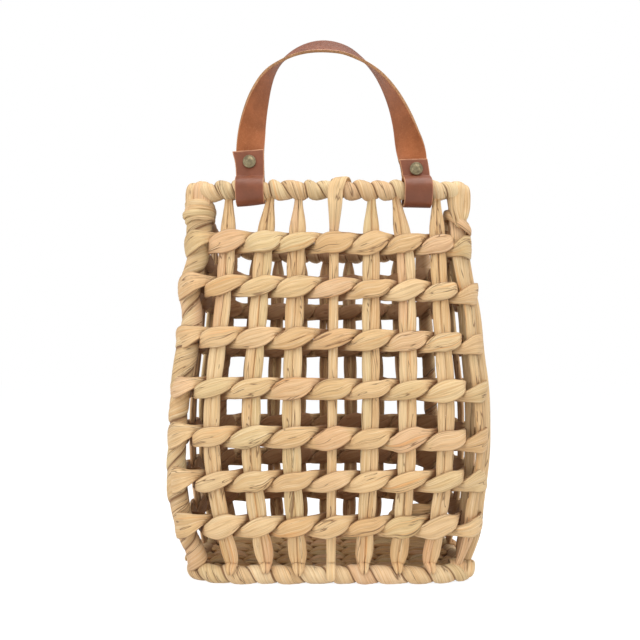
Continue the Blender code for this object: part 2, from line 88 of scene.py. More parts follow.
# Stakes: places along each wall, as shares of its half width, at the foot, belly and rim
NEAR_LEVEL_SHARES = (0.00, 0.37, 0.82, 1.00)
NEAR_STAKE_SHARES = (
    (-0.665, -0.427, -0.203, 0.020, 0.248, 0.490, 0.709),
    (-0.731, -0.483, -0.229, 0.026, 0.263, 0.497, 0.742),
    (-0.711, -0.457, -0.221, 0.043, 0.303, 0.545, 0.777),
    (-0.700, -0.401, -0.204, 0.044, 0.312, 0.477, 0.770),
)
FAR_STAKE_SHARES = (-0.695, -0.472, -0.240, 0.000, 0.225, 0.465, 0.695)
SIDE_STAKE_SHARES = (-0.480, 0.000, 0.480)
RIM_DROP_POWER = 6

# Uprights, counted round the basket from the near left corner
NEAR_POSTS = (0, 8)
FAR_POSTS = (12, 20)
UPRIGHTS = 24
MIDDLE_UPRIGHT = 4

STAKE_WIDTH = 0.0125
STAKE_PINCH_WIDTH = 0.0090
STAKE_THICKNESS = 0.0032
MIDDLE_STAKE_WIDTH = 0.0070
POST_DIAMETER = 0.0135
POST_PINCH_DIAMETER = 0.0090
POST_EASE = 0.0009
# How far in front of a corner post a folded strand lies, and how its edges bend back round the post
POST_HEAD = 0.0078
POST_CURL = 46.0
# Where a stake ends under the rim
STAKE_TOP_SHARE = 0.992
# Half thickness of a strand laid by itself, for its pattern round the section
FREE_HALF = 0.0015

# The near right corner leans out: share of the height, distance
RIGHT_CORNER_LEANS = (
    (0.00, 0.0040), (0.04, 0.0062), (0.10, 0.0048), (0.20, 0.0012), (0.33, 0.0014), (0.45, 0.0024),
    (0.60, 0.0040), (0.70, 0.0046), (0.78, 0.0024), (0.90, 0.0012), (1.00, 0.0010),
)
# Corner posts as seen: share of the height, width, distance that they lean out of their corner
LEFT_POST = (
    (0.00, 0.0160, 0.0000), (0.06, 0.0156, 0.0010), (0.13, 0.0156, 0.0040), (0.21, 0.0158, 0.0060),
    (0.29, 0.0150, 0.0056), (0.36, 0.0142, 0.0040), (0.48, 0.0148, 0.0036), (0.60, 0.0182, 0.0022),
    (0.69, 0.0160, 0.0010), (0.75, 0.0170, 0.0052), (0.79, 0.0160, 0.0030), (0.83, 0.0164, 0.0004),
    (0.88, 0.0196, 0.0000), (0.95, 0.0200, 0.0000), (1.00, 0.0170, 0.0000),
)
# The right post's strands: share of the height, distance to the right and to the front, half width
RIGHT_POST = (
    ((0.030, -0.0070, 0.0040, 0.0022), (0.12, -0.0010, 0.0040, 0.0042), (0.21, 0.0010, 0.0040, 0.0046),
     (0.33, 0.0035, 0.0040, 0.0032), (0.45, 0.0020, 0.0040, 0.0038), (0.56, 0.0000, 0.0040, 0.0036),
     (0.70, 0.0000, 0.0040, 0.0042), (0.80, -0.0005, 0.0040, 0.0056), (0.90, -0.0010, 0.0040, 0.0058),
     (0.985, -0.0010, 0.0030, 0.0050)),
    ((0.035, 0.0010, -0.0030, 0.0030), (0.12, 0.0060, -0.0030, 0.0040), (0.21, 0.0075, -0.0030, 0.0042),
     (0.33, 0.0085, -0.0030, 0.0042), (0.45, 0.0082, -0.0030, 0.0042), (0.56, 0.0070, -0.0030, 0.0042),
     (0.70, 0.0060, -0.0030, 0.0042), (0.80, 0.0050, -0.0030, 0.0040), (0.985, 0.0040, -0.0030, 0.0040)),
    ((0.035, -0.0020, -0.0050, 0.0040), (0.33, -0.0020, -0.0055, 0.0034), (0.56, -0.0025, -0.0055, 0.0034),
     (0.80, -0.0020, -0.0050, 0.0040), (0.985, -0.0010, -0.0040, 0.0045)),
)
# Strands that fold over the rim, by upright: share of the height where each starts, its place across at the
# start and at the rim, its width there, how far it slants over the rim and how proud it lies
FOLDS = {
    0: ((0.935, (-0.0074, -0.0060), (0.0054, 0.0062), 0.0040, 0.0008),
        (0.957, (0.0010, 0.0020), (0.0150, 0.0124), 0.0022, 0.0020)),
    4: ((0.885, (0.0000, 0.0006), (0.0068, 0.0110), 0.0100, 0.0014),),
    8: ((0.905, (0.0006, -0.0024), (0.0080, 0.0130), 0.0040, 0.0020),
        (0.925, (0.0032, 0.0050), (0.0060, 0.0072), -0.0030, -0.0002)),
}
# Strands wound round the corners' heads: distance below the rim, radius, rise to the right, half width
COLLARS = {
    0: ((0.0086, 0.0106, 0.0002, 0.0024), (0.0120, 0.0112, 0.0008, 0.0024), (0.0154, 0.0112, 0.0014, 0.0025),
        (0.0188, 0.0102, 0.0018, 0.0022)),
    8: ((0.0215, 0.0092, -0.0060, 0.0034),),
}
# Strands folded over the foot's rope: distance to the right, half width, how proud
KNOBS = {8: ((-0.0035, 0.0062, 0.0012), (0.0058, 0.0030, 0.0002))}
FAR_POST = ((0.00, 0.0140, 0.0), (0.35, 0.0128, 0.0), (0.70, 0.0135, 0.0), (1.00, 0.0145, 0.0))

# Twined rows, from the foot to the rim, and how far each droops at the near right corner
ROW_SHARES = (0.148, 0.263, 0.376, 0.497, 0.625, 0.756, 0.868)
ROW_DROOPS = (0.0000, 0.0000, 0.0035, 0.0026, 0.0048, 0.0056, 0.0026)
# Loose strand ends behind a row: start and end as turn and rise over the row, and half height
LOOSE_LEAVES = {(0, "a"): ((5.62, 0.0068), (7.02, 0.0118), 0.0046)}
# How far each row's loop stands out of the left corner, and the uprights that it covers with a big leaf
LEFT_LOOPS = (0.0014, 0.0018, 0.0010, 0.0006, 0.0006, 0.0028, 0.0002)
BIG_LEAVES = ((1, 7), (), (6,), (), (2,), (), (5,))
GRIP_SHARE = 0.68

# Ropes at the rim and the foot
RIM_DIAMETER = 0.0136
BORDER_DIAMETER = 0.0134
BORDER_FLAT_DEPTH = 0.0009

# Base
BASE_HEIGHT = 0.0062
BASE_STAKES = 7
BASE_STAKE_WIDTH = 0.0090
BASE_STAKE_THICKNESS = 0.0030
BASE_SPREAD = 0.80

# Strap and rivets
HINGE = next(joint for joint in frame["joints"] if joint["name"] == "handle_swing")["pos_m"]
STRAP_WIDTH = 0.0200
STRAP_THICKNESS = 0.0020
LOOP_PLACES = (-0.0560, 0.0631)
TAB_RISES = (0.0282, 0.0220)
RIVET_RISES = (0.0197, 0.0146)
LAYERS_MEET = 0.0098
LOOP_CLEARANCE = 0.0009
HANDLE_RISE = 0.1041
ARCH_SHARES = (
    (-1.000, 0.243, 90), (-0.985, 0.360, 74), (-0.950, 0.495, 52), (-0.888, 0.632, 32), (-0.788, 0.768, 8),
    (-0.651, 0.872, -18), (-0.490, 0.943, -33), (-0.300, 0.987, -43), (-0.090, 1.000, -47),
    (0.130, 0.977, -42), (0.320, 0.917, -31), (0.477, 0.844, -18), (0.614, 0.750, -3), (0.737, 0.629, 13),
    (0.837, 0.491, 31), (0.915, 0.367, 50), (0.975, 0.275, 74), (1.000, 0.208, 90),
)
RIVET_DIAMETER = 0.0094
RIVET_DOME = 0.0022
RIVET_SKIRT = 0.0008
# A rivet's face from its edge inwards: how far in as a share of its width, how far out of the dome's height
RIVET_PROFILE = (
    (0.010, 0.10), (0.045, 0.22), (0.050, -0.10), (0.020, 0.04), (0.080, 0.30), (0.100, 0.24),
    (0.090, 0.12), (0.060, 0.03),
)
SHANK_START = 0.0010
SHANK_DIAMETER = 0.0034
REAR_HEAD_DIAMETER = 0.0080
REAR_HEAD_THICKNESS = 0.0010

# How finely the surfaces are drawn
LEVEL_STEPS = 481
LEVEL_RANGE = (-0.04, 1.06)
SLOPE_STEP = 0.02
MERGE_DISTANCE = 0.000004
# Creases in a row's leaf: how many, share of the crease depth, breadth
LEAF_CREASES = ((3, 1.0, 0.035), (7, 0.40, 0.030), (2, 0.7, 0.22))
LEAF_STRAIGHT = 0.78
LEAF_FULLNESS = 2.5
LEAF_CORNER = 0.97
ROW_START = 16.5
ROW_RINGS = 15
ROW_SIDES = 60
STAKE_RING = 0.0022
STAKE_SIDES = 22
WRAP_STEPS = 30
WRAP_LANES = 14
ARCH_STEPS = 7
LOOP_STEPS = 26
STRAP_LANES = 10
RIVET_SIDES = 48

# Shades: the floor's shadow, the painted shade on a strand's inner side, its tucked end and its edges,
# and the slots' own tints
FLOOR_SHADOW = 0.34
INNER_SHADE = 0.80
TUCK_SHADE = 0.88
LEAF_EDGE_SHADE = 0.62
STRAND_EDGE_SHADE = 0.45
BASE_TINT = (0.78, 0.68, 0.55)
ROPE_TINT = (0.98, 1.03, 1.12)
# Half the body's size across and through, which tells a strand's inner side, where shade is painted
HALF_SIZES = (0.125, 0.066)
# How each tab of the strap lies: shift right at its end and under the rim, flare at its left and right
# corner, how steeply its end is cut, how far its loop hangs below the rope and how the loop's edge slants
TAB_SHAPES = ((0.0000, 0.0006, 0.0023, 0.0002, 0.085, 0.0007, 0.11),
              (-0.0020, 0.0010, 0.0002, 0.0000, 0.030, 0.0024, -0.02))
# Lamps: name, place, what it faces, size, share of the lamp's strength and colour
LAMPS = (
    ("top_softbox", (0.15, -0.35, 1.15), (0, 0, 0.15), 0.9, 1.0, (1.0, 0.985, 0.96)),
    ("left_softbox", (-1.1, -0.8, 0.65), (0, 0, 0.17), 0.9, 0.85, (1.0, 0.99, 0.97)),
    ("right_softbox", (1.15, -0.9, 0.45), (0, 0, 0.17), 0.8, 0.50, (1.0, 0.995, 0.99)),
)
STRAND_RUN = "strand_run"
# The growth attribute: tone, green tinge and pattern shift, and painted shade in its alpha
GROWTH_AND_SHADE = "growth"
BASKET = "basket"
HANDLE = "handle"


def smooth_read(table, place):
    """A value at a place, from a smooth curve through a table of (place, value)."""
    last = len(table) - 1
    cell = 0
    while cell < last - 1 and place > table[cell + 1][0]:
        cell += 1
    slopes = []
    for k in (cell, cell + 1):
        low = table[max(k - 1, 0)]
        high = table[min(k + 1, last)]
        slopes.append((high[1] - low[1]) / (high[0] - low[0]))
    start, end = table[cell], table[cell + 1]
    span = end[0] - start[0]
    u = (place - start[0]) / span
    return (
        (2 * u ** 3 - 3 * u ** 2 + 1) * start[1] + (u ** 3 - 2 * u ** 2 + u) * span * slopes[0]
        + (3 * u ** 2 - 2 * u ** 3) * end[1] + (u ** 3 - u ** 2) * span * slopes[1]
    )


def through(points, u):
    """A point on the smooth curve through four points, between the middle two."""
    a, b, c, d = points
    return (
        b * 2 + (c - a) * u + (a * 2 - b * 5 + c * 4 - d) * u ** 2 + (b * 3 - a - c * 3 + d) * u ** 3
    ) / 2


def near_share(stake, level):
    """A near stake's place, as a share of the near wall's half width."""
    shares = [row[stake] for row in NEAR_STAKE_SHARES]
    return smooth_read(list(zip(NEAR_LEVEL_SHARES, shares)), level)


def upright_place(index, level):
    """Where an upright stands in plan, at a share of the body's height."""
    swell = smooth_read(SWELL_SHARES, level)
    near = NEAR_WIDTH / 2 * swell
    far = FAR_WIDTH / 2 * swell
    inset = CORNER_INSET * swell
    front = -WALL_DEPTH / 2 * swell
    back = WALL_DEPTH / 2 * swell
    if index == NEAR_POSTS[0]:
        return inset - near, front + inset
    if index == NEAR_POSTS[1]:
        return near - inset + smooth_read(RIGHT_CORNER_LEANS, level), front + inset
    if index in FAR_POSTS:
        side = 1 if index == FAR_POSTS[0] else -1
        return side * (far - inset), back - FAR_BOW - inset
    if index < NEAR_POSTS[1]:
        return near_share(index - 1, level) * near, front
    if FAR_POSTS[0] < index < FAR_POSTS[1]:
        share = FAR_STAKE_SHARES[FAR_POSTS[1] - index - 1]
        return share * far, back - FAR_BOW * share ** 2
    if index < FAR_POSTS[0]:
        share = SIDE_STAKE_SHARES[index - NEAR_POSTS[1] - 1]
        side = 1
    else:
        share = -SIDE_STAKE_SHARES[index - FAR_POSTS[1] - 1]
        side = -1
    along = (share + 1) / 2
    x = near + (far - near) * along + SIDE_BOW * (1 - share ** 2)
    return side * x, front + (back - FAR_BOW - front) * along


def unit(vectors):
    """Rows of vectors, each at length 1."""
    return vectors / np.linalg.norm(vectors, axis=-1, keepdims=True)


class BasketWall:
    """The wall's middle surface. Turn counts uprights round it, level is a share of its height."""

    def __init__(self):
        self.levels = np.linspace(*LEVEL_RANGE, LEVEL_STEPS)
        self.plan = np.array([[upright_place(k, level) for level in self.levels] for k in range(UPRIGHTS)])
        self.depths = WALL_DEPTH * np.array([smooth_read(SWELL_SHARES, level) for level in self.levels])

    def point(self, turn, level):
        """Points of the wall at arrays of turns and levels."""
        turn, level = np.broadcast_arrays(np.asarray(turn, float), np.asarray(level, float))
        cell = np.floor(turn).astype(int)
        u = (turn - cell)[..., None]
        step = self.levels[1] - self.levels[0]
        place = np.clip((level - self.levels[0]) / step, 0, LEVEL_STEPS - 1.001)
        low = place.astype(int)
        rest = (place - low)[..., None]
        columns = [(cell + k) % UPRIGHTS for k in (-1, 0, 1, 2)]
        corners = [self.plan[column, low] * (1 - rest) + self.plan[column, low + 1] * rest
                   for column in columns]
        plan = through(corners, u)
        farness = 0.5 + plan[..., 1] / np.interp(level, self.levels, self.depths)
        drop = FAR_RIM_DROP * np.clip(level, 0, None) ** RIM_DROP_POWER * farness
        return np.concatenate([plan, (BODY_HEIGHT * level - drop)[..., None]], axis=-1)

    def run(self, turn, level):
        """The wall's direction and its length for one upright's turn, in plan."""
        run = (self.point(turn + SLOPE_STEP, level) - self.point(turn - SLOPE_STEP, level)) / (2 * SLOPE_STEP)
        run[..., 2] = 0
        return run

    def outward(self, turn, level):
        """The level direction out of the wall."""
        run = unit(self.run(turn, level))
        return np.stack([run[..., 1], -run[..., 0], np.zeros(run.shape[:-1])], axis=-1)


WALL = BasketWall()


def is_post(index):
    """Whether an upright is a corner post."""
    return index % UPRIGHTS in NEAR_POSTS + FAR_POSTS


def half_width(index):
    """Half an upright's width between the rows."""
    if is_post(index):
        return POST_DIAMETER / 2
    if index == MIDDLE_UPRIGHT:
        return MIDDLE_STAKE_WIDTH / 2
    return STAKE_WIDTH / 2


def half_thickness(index):
    """Half an upright's thickness through the wall, inside a row."""
    return POST_PINCH_DIAMETER / 2 if is_post(index) else STAKE_THICKNESS / 2


def pinched_width(index):
    """Half an upright's width inside a row."""
    return POST_PINCH_DIAMETER / 2 if is_post(index) else min(half_width(index), STAKE_PINCH_WIDTH / 2)


def row_level(row, turn):
    """A row's height as a share of the body's, which droops towards the near right corner."""
    turn = np.asarray(turn, float) % UPRIGHTS
    near = np.clip(turn / NEAR_POSTS[1], 0, 1) ** 1.5
    side = np.clip((FAR_POSTS[0] - turn) / (FAR_POSTS[0] - NEAR_POSTS[1]), 0, 1)
    share = np.where(turn <= NEAR_POSTS[1], near, side * side * (3 - 2 * side))
    return ROW_SHARES[row] - ROW_DROOPS[row] * share / BODY_HEIGHT


def ease(x):
    """A smooth step from 0 to 1."""
    x = np.clip(x, 0, 1)
    return x * x * (3 - 2 * x)


class Wander:
    """A seeded smooth wave about zero, of about size 1, over a place that can close on itself."""

    def __init__(self, rng, period, finest, waves=5):
        self.counts = rng.integers(1, max(2, int(round(period / finest))), waves)
        self.shifts = rng.uniform(0, 2 * pi, waves)
        self.sizes = rng.uniform(0.4, 1.0, waves)
        self.sizes /= np.sqrt((self.sizes ** 2).sum() / 2) * 1.4
        self.period = period

    def __call__(self, place):
        total = 0
        for count, shift, size in zip(self.counts, self.shifts, self.sizes):
            total = total + size * np.sin(2 * pi * count * np.asarray(place, float) / self.period + shift)
        return total


def even_angles(sides, flatness):
    """Angles round a flattened section whose points lie evenly along it. The first comes again last."""
    fine = np.linspace(0, 2 * pi, 2001)
    x, y = flatness * np.cos(fine), np.sin(fine)
    lengths = np.concatenate([[0], np.cumsum(np.hypot(np.diff(x), np.diff(y)))])
    return np.interp(np.linspace(0, lengths[-1], sides + 1), lengths, fine)


def creases(rng, run, period, angles, count, depth, spread=0.09):
    """Lengthwise creases in both faces of a strand, as depths to take off. They wander and fade."""
    heights = np.sin(angles)[None, :]
    front = (np.cos(angles) > 0)[None, :]
    dent = np.zeros((len(run), len(angles)))
    for face in (front, ~front):
        homes = np.linspace(-0.72, 0.72, count) + rng.uniform(-0.12, 0.12, count)
        for home in homes:
            drift = Wander(rng, period, 0.03)
            fade = Wander(rng, period, 0.02)
            line = home + 0.10 * drift(run)
            size = depth * np.clip(0.55 + 0.75 * fade(run), 0, 1.4)
            dent += size[:, None] * np.exp(-((heights - line[:, None]) / spread) ** 2) * face
    return dent


def ribbon(centre, out, up, tall, thick, angles, dents, flat=0.86, tip=0.86):
    """Rows of points round a flattened strand. Its section stands square to the strand's run."""
    c, s = np.cos(angles)[None, :], np.sin(angles)[None, :]
    tall, thick = tall[:, None], thick[:, None]
    across = thick * np.sign(c) * np.abs(c) ** flat
    along = tall * np.sign(s) * np.abs(s) ** tip
    nx, ny = c / np.maximum(thick, 0.0001), s / np.maximum(tall, 0.0001)
    size = np.hypot(nx, ny)
    across = across - nx / size * dents
    along = along - ny / size * dents
    return (centre[:, None, :] + out[:, None, :] * across[..., None]
            + up[:, None, :] * along[..., None])


def square_up(centre, out, closed=False):
    """Turn the outward direction square to the run, and give the third direction, which points up."""
    if closed:
        ahead = np.roll(centre[:-1], -1, axis=0)
        behind = np.roll(centre[:-1], 1, axis=0)
        run = np.concatenate([ahead - behind, (ahead - behind)[:1]])
    else:
        run = np.gradient(centre, axis=0)
    run = unit(run)
    out = unit(out - (out * run).sum(axis=1, keepdims=True) * run)
    return out, np.cross(out, run)


def rolled(out, up, angle):
    """Roll a strand's section about its run. A positive angle leans its top inwards."""
    c, s = np.cos(angle)[:, None], np.sin(angle)[:, None]
    return out * c + up * s, up * c - out * s


def path_length(points):
    """The distance along a row of points, from its first."""
    return np.concatenate([[0], np.cumsum(np.linalg.norm(np.diff(points, axis=0), axis=1))])


def rounded_ends(run, size):
    """A share that falls to 0 in a quarter circle at both ends of a run."""
    near = np.clip(np.minimum(run, run[-1] - run) / size, 0, 1)
    return np.sqrt(np.clip(1 - (1 - near) ** 2, 0, 1))


def girth_of(angles, thick, tall):
    """The distance round a strand's section, from its first angle."""
    return path_length(np.stack([thick * np.cos(angles), tall * np.sin(angles)], 1))


def edge_shade(angles, start, shade):
    """How much painted shade a strand's two edges get: nothing up to a share of its half width, then up to
    the shade.
    """
    return shade * np.clip((np.abs(np.sin(angles)) - start) / (1 - start), 0, 1)


def deselect():
    """Leave nothing selected."""
    for other in bpy.context.view_layer.objects.selected[:]:
        other.select_set(False)


def edit_mesh(made, *steps):
    """Run edit-mode operators on all of one object's mesh."""
    deselect()
    made.select_set(True)
    bpy.context.view_layer.objects.active = made
    bpy.ops.object.mode_set(mode="EDIT")
    bpy.ops.mesh.select_all(action="SELECT")
    for step in steps:
        step()
    bpy.ops.object.mode_set(mode="OBJECT")


def close_seams():
    """Merge the edges that meet and point the faces outwards."""
    bpy.ops.mesh.remove_doubles(threshold=MERGE_DISTANCE)
    bpy.ops.mesh.normals_make_consistent(inside=False)


def inward(points, core):
    """How far each place of a piece faces into the basket, from 0 to 1, which sets the painted shade on
    its inner side.
    """
    away = points - core
    away = away / (np.linalg.norm(away, axis=-1, keepdims=True) + 1e-9)
    shares = core[..., :2] / np.array(HALF_SIZES)
    out = unit(np.sign(shares) * np.abs(shares) ** 7 / np.array(HALF_SIZES))
    return np.clip(0.1 - (away[..., :2] * out).sum(axis=-1), 0, 1) ** 0.8


def surface(name, points, along, around, growth, painted_shade=None, core=None):
    """A grid laid through rows of points, with its run in metres as a UV map and its growth colours.

    Painted shade, from 0 to 1, is kept as the colours' alpha: how dark a place is painted for the shade where
    strands meet and tuck under each other. Where a core is given, the side that faces into the basket gets
    painted shade in the same way."""
    rows, columns = points.shape[:2]
    # Painted shade on the side that faces into the basket
    if core is not None:
        painted_shade = np.maximum(0 if painted_shade is None else painted_shade, INNER_SHADE * inward(points, core))
    deselect()
    bpy.ops.mesh.primitive_grid_add(x_subdivisions=rows - 1, y_subdivisions=columns - 1, size=1,
                                    calc_uvs=True)
    made = bpy.context.object
    made.name = name
    mesh = made.data
    mesh.name = name
    flat = np.empty(len(mesh.vertices) * 3)
    mesh.vertices.foreach_get("co", flat)
    flat = flat.reshape(-1, 3)
    i = np.rint((flat[:, 0] + 0.5) * (rows - 1)).astype(int)
    j = np.rint((flat[:, 1] + 0.5) * (columns - 1)).astype(int)
    mesh.vertices.foreach_set("co", points[i, j].ravel())
    corners = np.empty(len(mesh.loops), dtype=np.int32)
    mesh.loops.foreach_get("vertex_index", corners)
    run = np.broadcast_to(along if np.ndim(along) == 2 else along[:, None], points.shape[:2])
    girth = np.broadcast_to(around, points.shape[:2])
    layer = mesh.uv_layers[0]
    layer.name = STRAND_RUN
    layer.data.foreach_set("uv", np.stack([run[i, j], girth[i, j]], axis=1)[corners].ravel())
    tint = mesh.attributes.new(GROWTH_AND_SHADE, "FLOAT_COLOR", "POINT")
    colours = np.ones((len(flat), 4))
    colours[:, :3] = growth[i] if growth.ndim == 2 else growth[i, j]
    # The alpha holds the painted shade
    colours[:, 3] = np.broadcast_to(0 if painted_shade is None else painted_shade, points.shape[:2])[i, j]
    tint.data.foreach_set("color", colours.ravel())
    mesh.update()
    edit_mesh(made, close_seams)
    bpy.ops.object.shade_smooth()
    return made


def joined(name, pieces):
    """Several objects made one."""
    deselect()
    for piece in pieces:
        piece.select_set(True)
    bpy.context.view_layer.objects.active = pieces[0]
    if len(pieces) > 1:
        bpy.ops.object.join()
    made = bpy.context.object
    made.name = name
    made.data.name = name
    return made


def dress(made, material, body, nodes):
    """Give a finished piece its material, its body, its slot and the solids that it stands for."""
    made.data.materials.clear()
    made.data.materials.append(material)
    settle(made, body, nodes)


def settle(made, body, nodes):
    """Tie a finished piece to the frame."""
    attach(made, body)
    if nodes:
        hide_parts(*nodes)


def growth_along(rng, count, places, shift=0.0, tones=(0.0, 1.0)):
    """Tone, green tinge and pattern shift along a strand, from a few seeded values round it."""
    values = rng.uniform(0, 1, (count, 3))
    values[:, 0] = tones[0] + (tones[1] - tones[0]) * values[:, 0]
    values[:, 2] = values[0, 2]
    place = (np.asarray(places, float) + shift) % count
    low = np.floor(place).astype(int) % count
    blend = ease((place - np.floor(place) - 0.3) / 0.4)[:, None]
    return values[low] * (1 - blend) + values[(low + 1) % count] * blend


# Materials


class Wire:
    """A node's socket. Python's operators on it add Math nodes."""

    def __init__(self, sheet, socket):
        self.sheet = sheet
        self.socket = socket

    def maths(self, operation, *values):
        """A Math node on this socket and other sockets or numbers."""
        return self.sheet.node("ShaderNodeMath", {"operation": operation}, dict(enumerate(values)))

    def __add__(self, other):
        return self.maths("ADD", self, other)

    __radd__ = __add__

    def __sub__(self, other):
        return self.maths("SUBTRACT", self, other)

    def __rsub__(self, other):
        return self.maths("SUBTRACT", other, self)

    def __mul__(self, other):
        return self.maths("MULTIPLY", self, other)

    __rmul__ = __mul__

    def __truediv__(self, other):
        return self.maths("DIVIDE", self, other)

    def __pow__(self, other):
        return self.maths("POWER", self, other)

    def __abs__(self):
        return self.maths("ABSOLUTE", self)

    def between(self, low, high):
        """A smooth step of this value from 0 at low to 1 at high."""
        settings = {"interpolation_type": "SMOOTHSTEP"}
        return self.sheet.node("ShaderNodeMapRange", settings, {0: self, 1: low, 2: high, 3: 0.0, 4: 1.0})


class NodeSheet:
    """The nodes of a new material or world."""

    def __init__(self, name, shelf=None):
        shelf = bpy.data.materials if shelf is None else shelf
        self.block = shelf.new(name)
        self.block.use_nodes = True
        self.tree = self.block.node_tree
        self.tree.nodes.clear()

    def node(self, kind, settings, inputs, output=0):
        """Add a node: first its settings, then the values or links of its sockets."""
        made = self.tree.nodes.new(kind)
        for key, value in settings.items():
            if key == "stops":
                for k, (place, colour) in enumerate(value):
                    stop = made.color_ramp.elements[k] if k < 2 else made.color_ramp.elements.new(place)
                    stop.position = place
                    stop.color = (*colour, 1)
            else:
                setattr(made, key, value)
        for key, value in inputs.items():
            if isinstance(value, Wire):
                self.tree.links.new(value.socket, made.inputs[key])
            else:
                made.inputs[key].default_value = value
        return Wire(self, made.outputs[output])

    def place(self):
        """Where a point of the piece lies, in metres."""
        return self.node("ShaderNodeTexCoord", {}, {}, "Object")

    def split(self, vector):
        """The three numbers of a vector."""
        return [self.node("ShaderNodeSeparateXYZ", {}, {0: vector}, k) for k in range(3)]

    def join(self, x, y, z):
        """A vector from three numbers."""
        return self.node("ShaderNodeCombineXYZ", {}, {0: x, 1: y, 2: z})

    def noise(self, vector, scale, detail=2.0, roughness=0.5, distortion=0.0):
        """Soft noise about 0.5."""
        inputs = {"Vector": vector, "Scale": scale, "Detail": detail, "Roughness": roughness,
                  "Distortion": distortion}
        return self.node("ShaderNodeTexNoise", {}, inputs)

    def mixed(self, factor, first, second, mode="MIX"):
        """Two colours mixed."""
        settings = {"data_type": "RGBA", "blend_type": mode, "clamp_factor": True}
        return self.node("ShaderNodeMix", settings, {0: factor, 6: first, 7: second}, 2)

    def bump(self, height, distance, strength=1.0):
        """A surface normal from a height."""
        return self.node("ShaderNodeBump", {}, {"Strength": strength, "Distance": distance, "Height": height})

    def surface(self, **sockets):
        """The Principled shader and the output that shows it."""
        shader = self.tree.nodes.new("ShaderNodeBsdfPrincipled")
        for key, value in sockets.items():
            socket = shader.inputs[key.replace("_", " ")]
            if isinstance(value, Wire):
                self.tree.links.new(value.socket, socket)
            else:
                socket.default_value = value
        return self.shown(shader.outputs[0], "ShaderNodeOutputMaterial")

    def shown(self, socket, kind):
        """The output that shows a shader, and the material or world that it finishes."""
        output = self.tree.nodes.new(kind)
        self.tree.links.new(socket, output.inputs[0])
        return self.block


def light(red, green, blue):
    """A display colour, 0 to 255, as the linear colour that shaders use."""
    shares = [value / 255 for value in (red, green, blue)]
    return tuple(v / 12.92 if v <= 0.04045 else ((v + 0.055) / 1.055) ** 2.4 for v in shares)


def paint(red, green, blue):
    """A display colour, 0 to 255, as a shader's colour that covers fully."""
    return (*light(red, green, blue), 1)


def made_once(builder, name, *values):
    """A material by name, built the first time that it is asked for."""
    return bpy.data.materials.get(name) or builder(name, *values)


def plant_fibre(name, pale, tan, shade, reed_bump):
    """Dried plant strand: long fibres, grooves, knots of colour and flecks, along the strand's run, with
    painted shade in its grooves and clefts and where the growth attribute's alpha holds it.
    """
    sheet = NodeSheet(name)
    u, v, _ = sheet.split(sheet.node("ShaderNodeUVMap", {"uv_map": STRAND_RUN}, {}))
    growth = sheet.node("ShaderNodeAttribute", {"attribute_name": GROWTH_AND_SHADE}, {})
    tone, green, shift = (sheet.node("ShaderNodeSeparateColor", {}, {0: growth}, k) for k in range(3))
    # The growth attribute's alpha: painted shade
    painted_shade = sheet.node("ShaderNodeAttribute", {"attribute_name": GROWTH_AND_SHADE}, {}, 3)
    place = sheet.place()
    offset = shift * 3.0
    fine = sheet.noise(sheet.join(u * 26, v * 1250, offset), 1.0, 3.0, 0.66)
    reeds = sheet.noise(sheet.join(u * 14, v * 520, offset + 5.0), 1.0, 2.0, 0.55, 0.3)
    streaks = sheet.noise(sheet.join(u * 9, v * 380, offset + 13.0), 1.0, 1.0, 0.5, 0.2)
    folds = sheet.noise(sheet.join(u * 22, v * 210, offset + 9.0), 1.0, 2.0, 0.5, 0.6)
    cloud = sheet.noise(place, 55.0, 3.0, 0.55)
    flecks = sheet.noise(sheet.join(u * 260, v * 1500, offset + 2.0), 1.0, 2.0, 0.6)
    lines = 1.0 - (abs(reeds - 0.5) * 18.0).between(0.0, 1.0)
    clefts = 1.0 - (abs(folds - 0.37) * 42.0).between(0.0, 1.0)
    colour = sheet.mixed(tone * 0.75 + cloud * 0.55 - 0.15, (*tan, 1), (*pale, 1))
    colour = sheet.mixed(green.between(0.62, 1.0) * 0.45, colour, paint(214, 194, 142))
    colour = sheet.mixed((1.0 - green).between(0.66, 1.0) * 0.50, colour, paint(228, 180, 142))
    colour = sheet.mixed(fine.between(0.50, 0.74) * 0.52, colour, paint(208, 154, 94))
    colour = sheet.mixed(fine.between(0.50, 0.27) * 0.52, colour, paint(250, 228, 190))
    colour = sheet.mixed(streaks.between(0.66, 0.76) * 0.50, colour, paint(224, 152, 78))
    # Painted shade in the grooves and clefts, where the bump sinks the surface
    colour = sheet.mixed(lines * 0.24, colour, (*shade, 1))
    colour = sheet.mixed(clefts * 0.78, colour, paint(112, 70, 38))
    colour = sheet.mixed(flecks.between(0.68, 0.78) * 0.50, colour, paint(112, 70, 38))
    # Painted shade: the strand turns dark brown where the alpha asks for it
    colour = sheet.mixed(painted_shade.between(0.10, 1.0) * 0.88, colour, paint(116, 70, 33))
    height = fine * 0.35 + reeds * 0.45 - lines * 0.35 - clefts * 0.9
    rough = 0.56 + fine * 0.16 + lines * 0.10
    return sheet.surface(Base_Color=colour, Roughness=rough, Normal=sheet.bump(height, reed_bump),
                         Specular_IOR_Level=0.38, Sheen_Weight=0.08, Sheen_Roughness=0.5)


def fibre_for(slot):
    """The plant material of one of the record's slots."""
    looks = bpy.context.scene.basket_colours
    pale, tan, shade = (tuple(colour) for colour in (looks.pale_strand, looks.tan_strand, looks.groove_shade))
    bump = bpy.context.scene.basket_strands.fibre_depth
    tones = {
        "strand_fibre": (pale, tan),
        "post_fibre": (tuple(0.93 * c for c in pale), tuple(0.92 * c for c in tan)),
        "rope_fibre": (tuple(np.array(pale) * ROPE_TINT), tuple(np.array(tan) * ROPE_TINT)),
        "base_fibre": (tuple(np.array(pale) * BASE_TINT), tuple(np.array(tan) * BASE_TINT * 0.94)),
    }
    return made_once(plant_fibre, slot.replace("_fibre", "_plant_fibre"), *tones[slot], shade, bump)


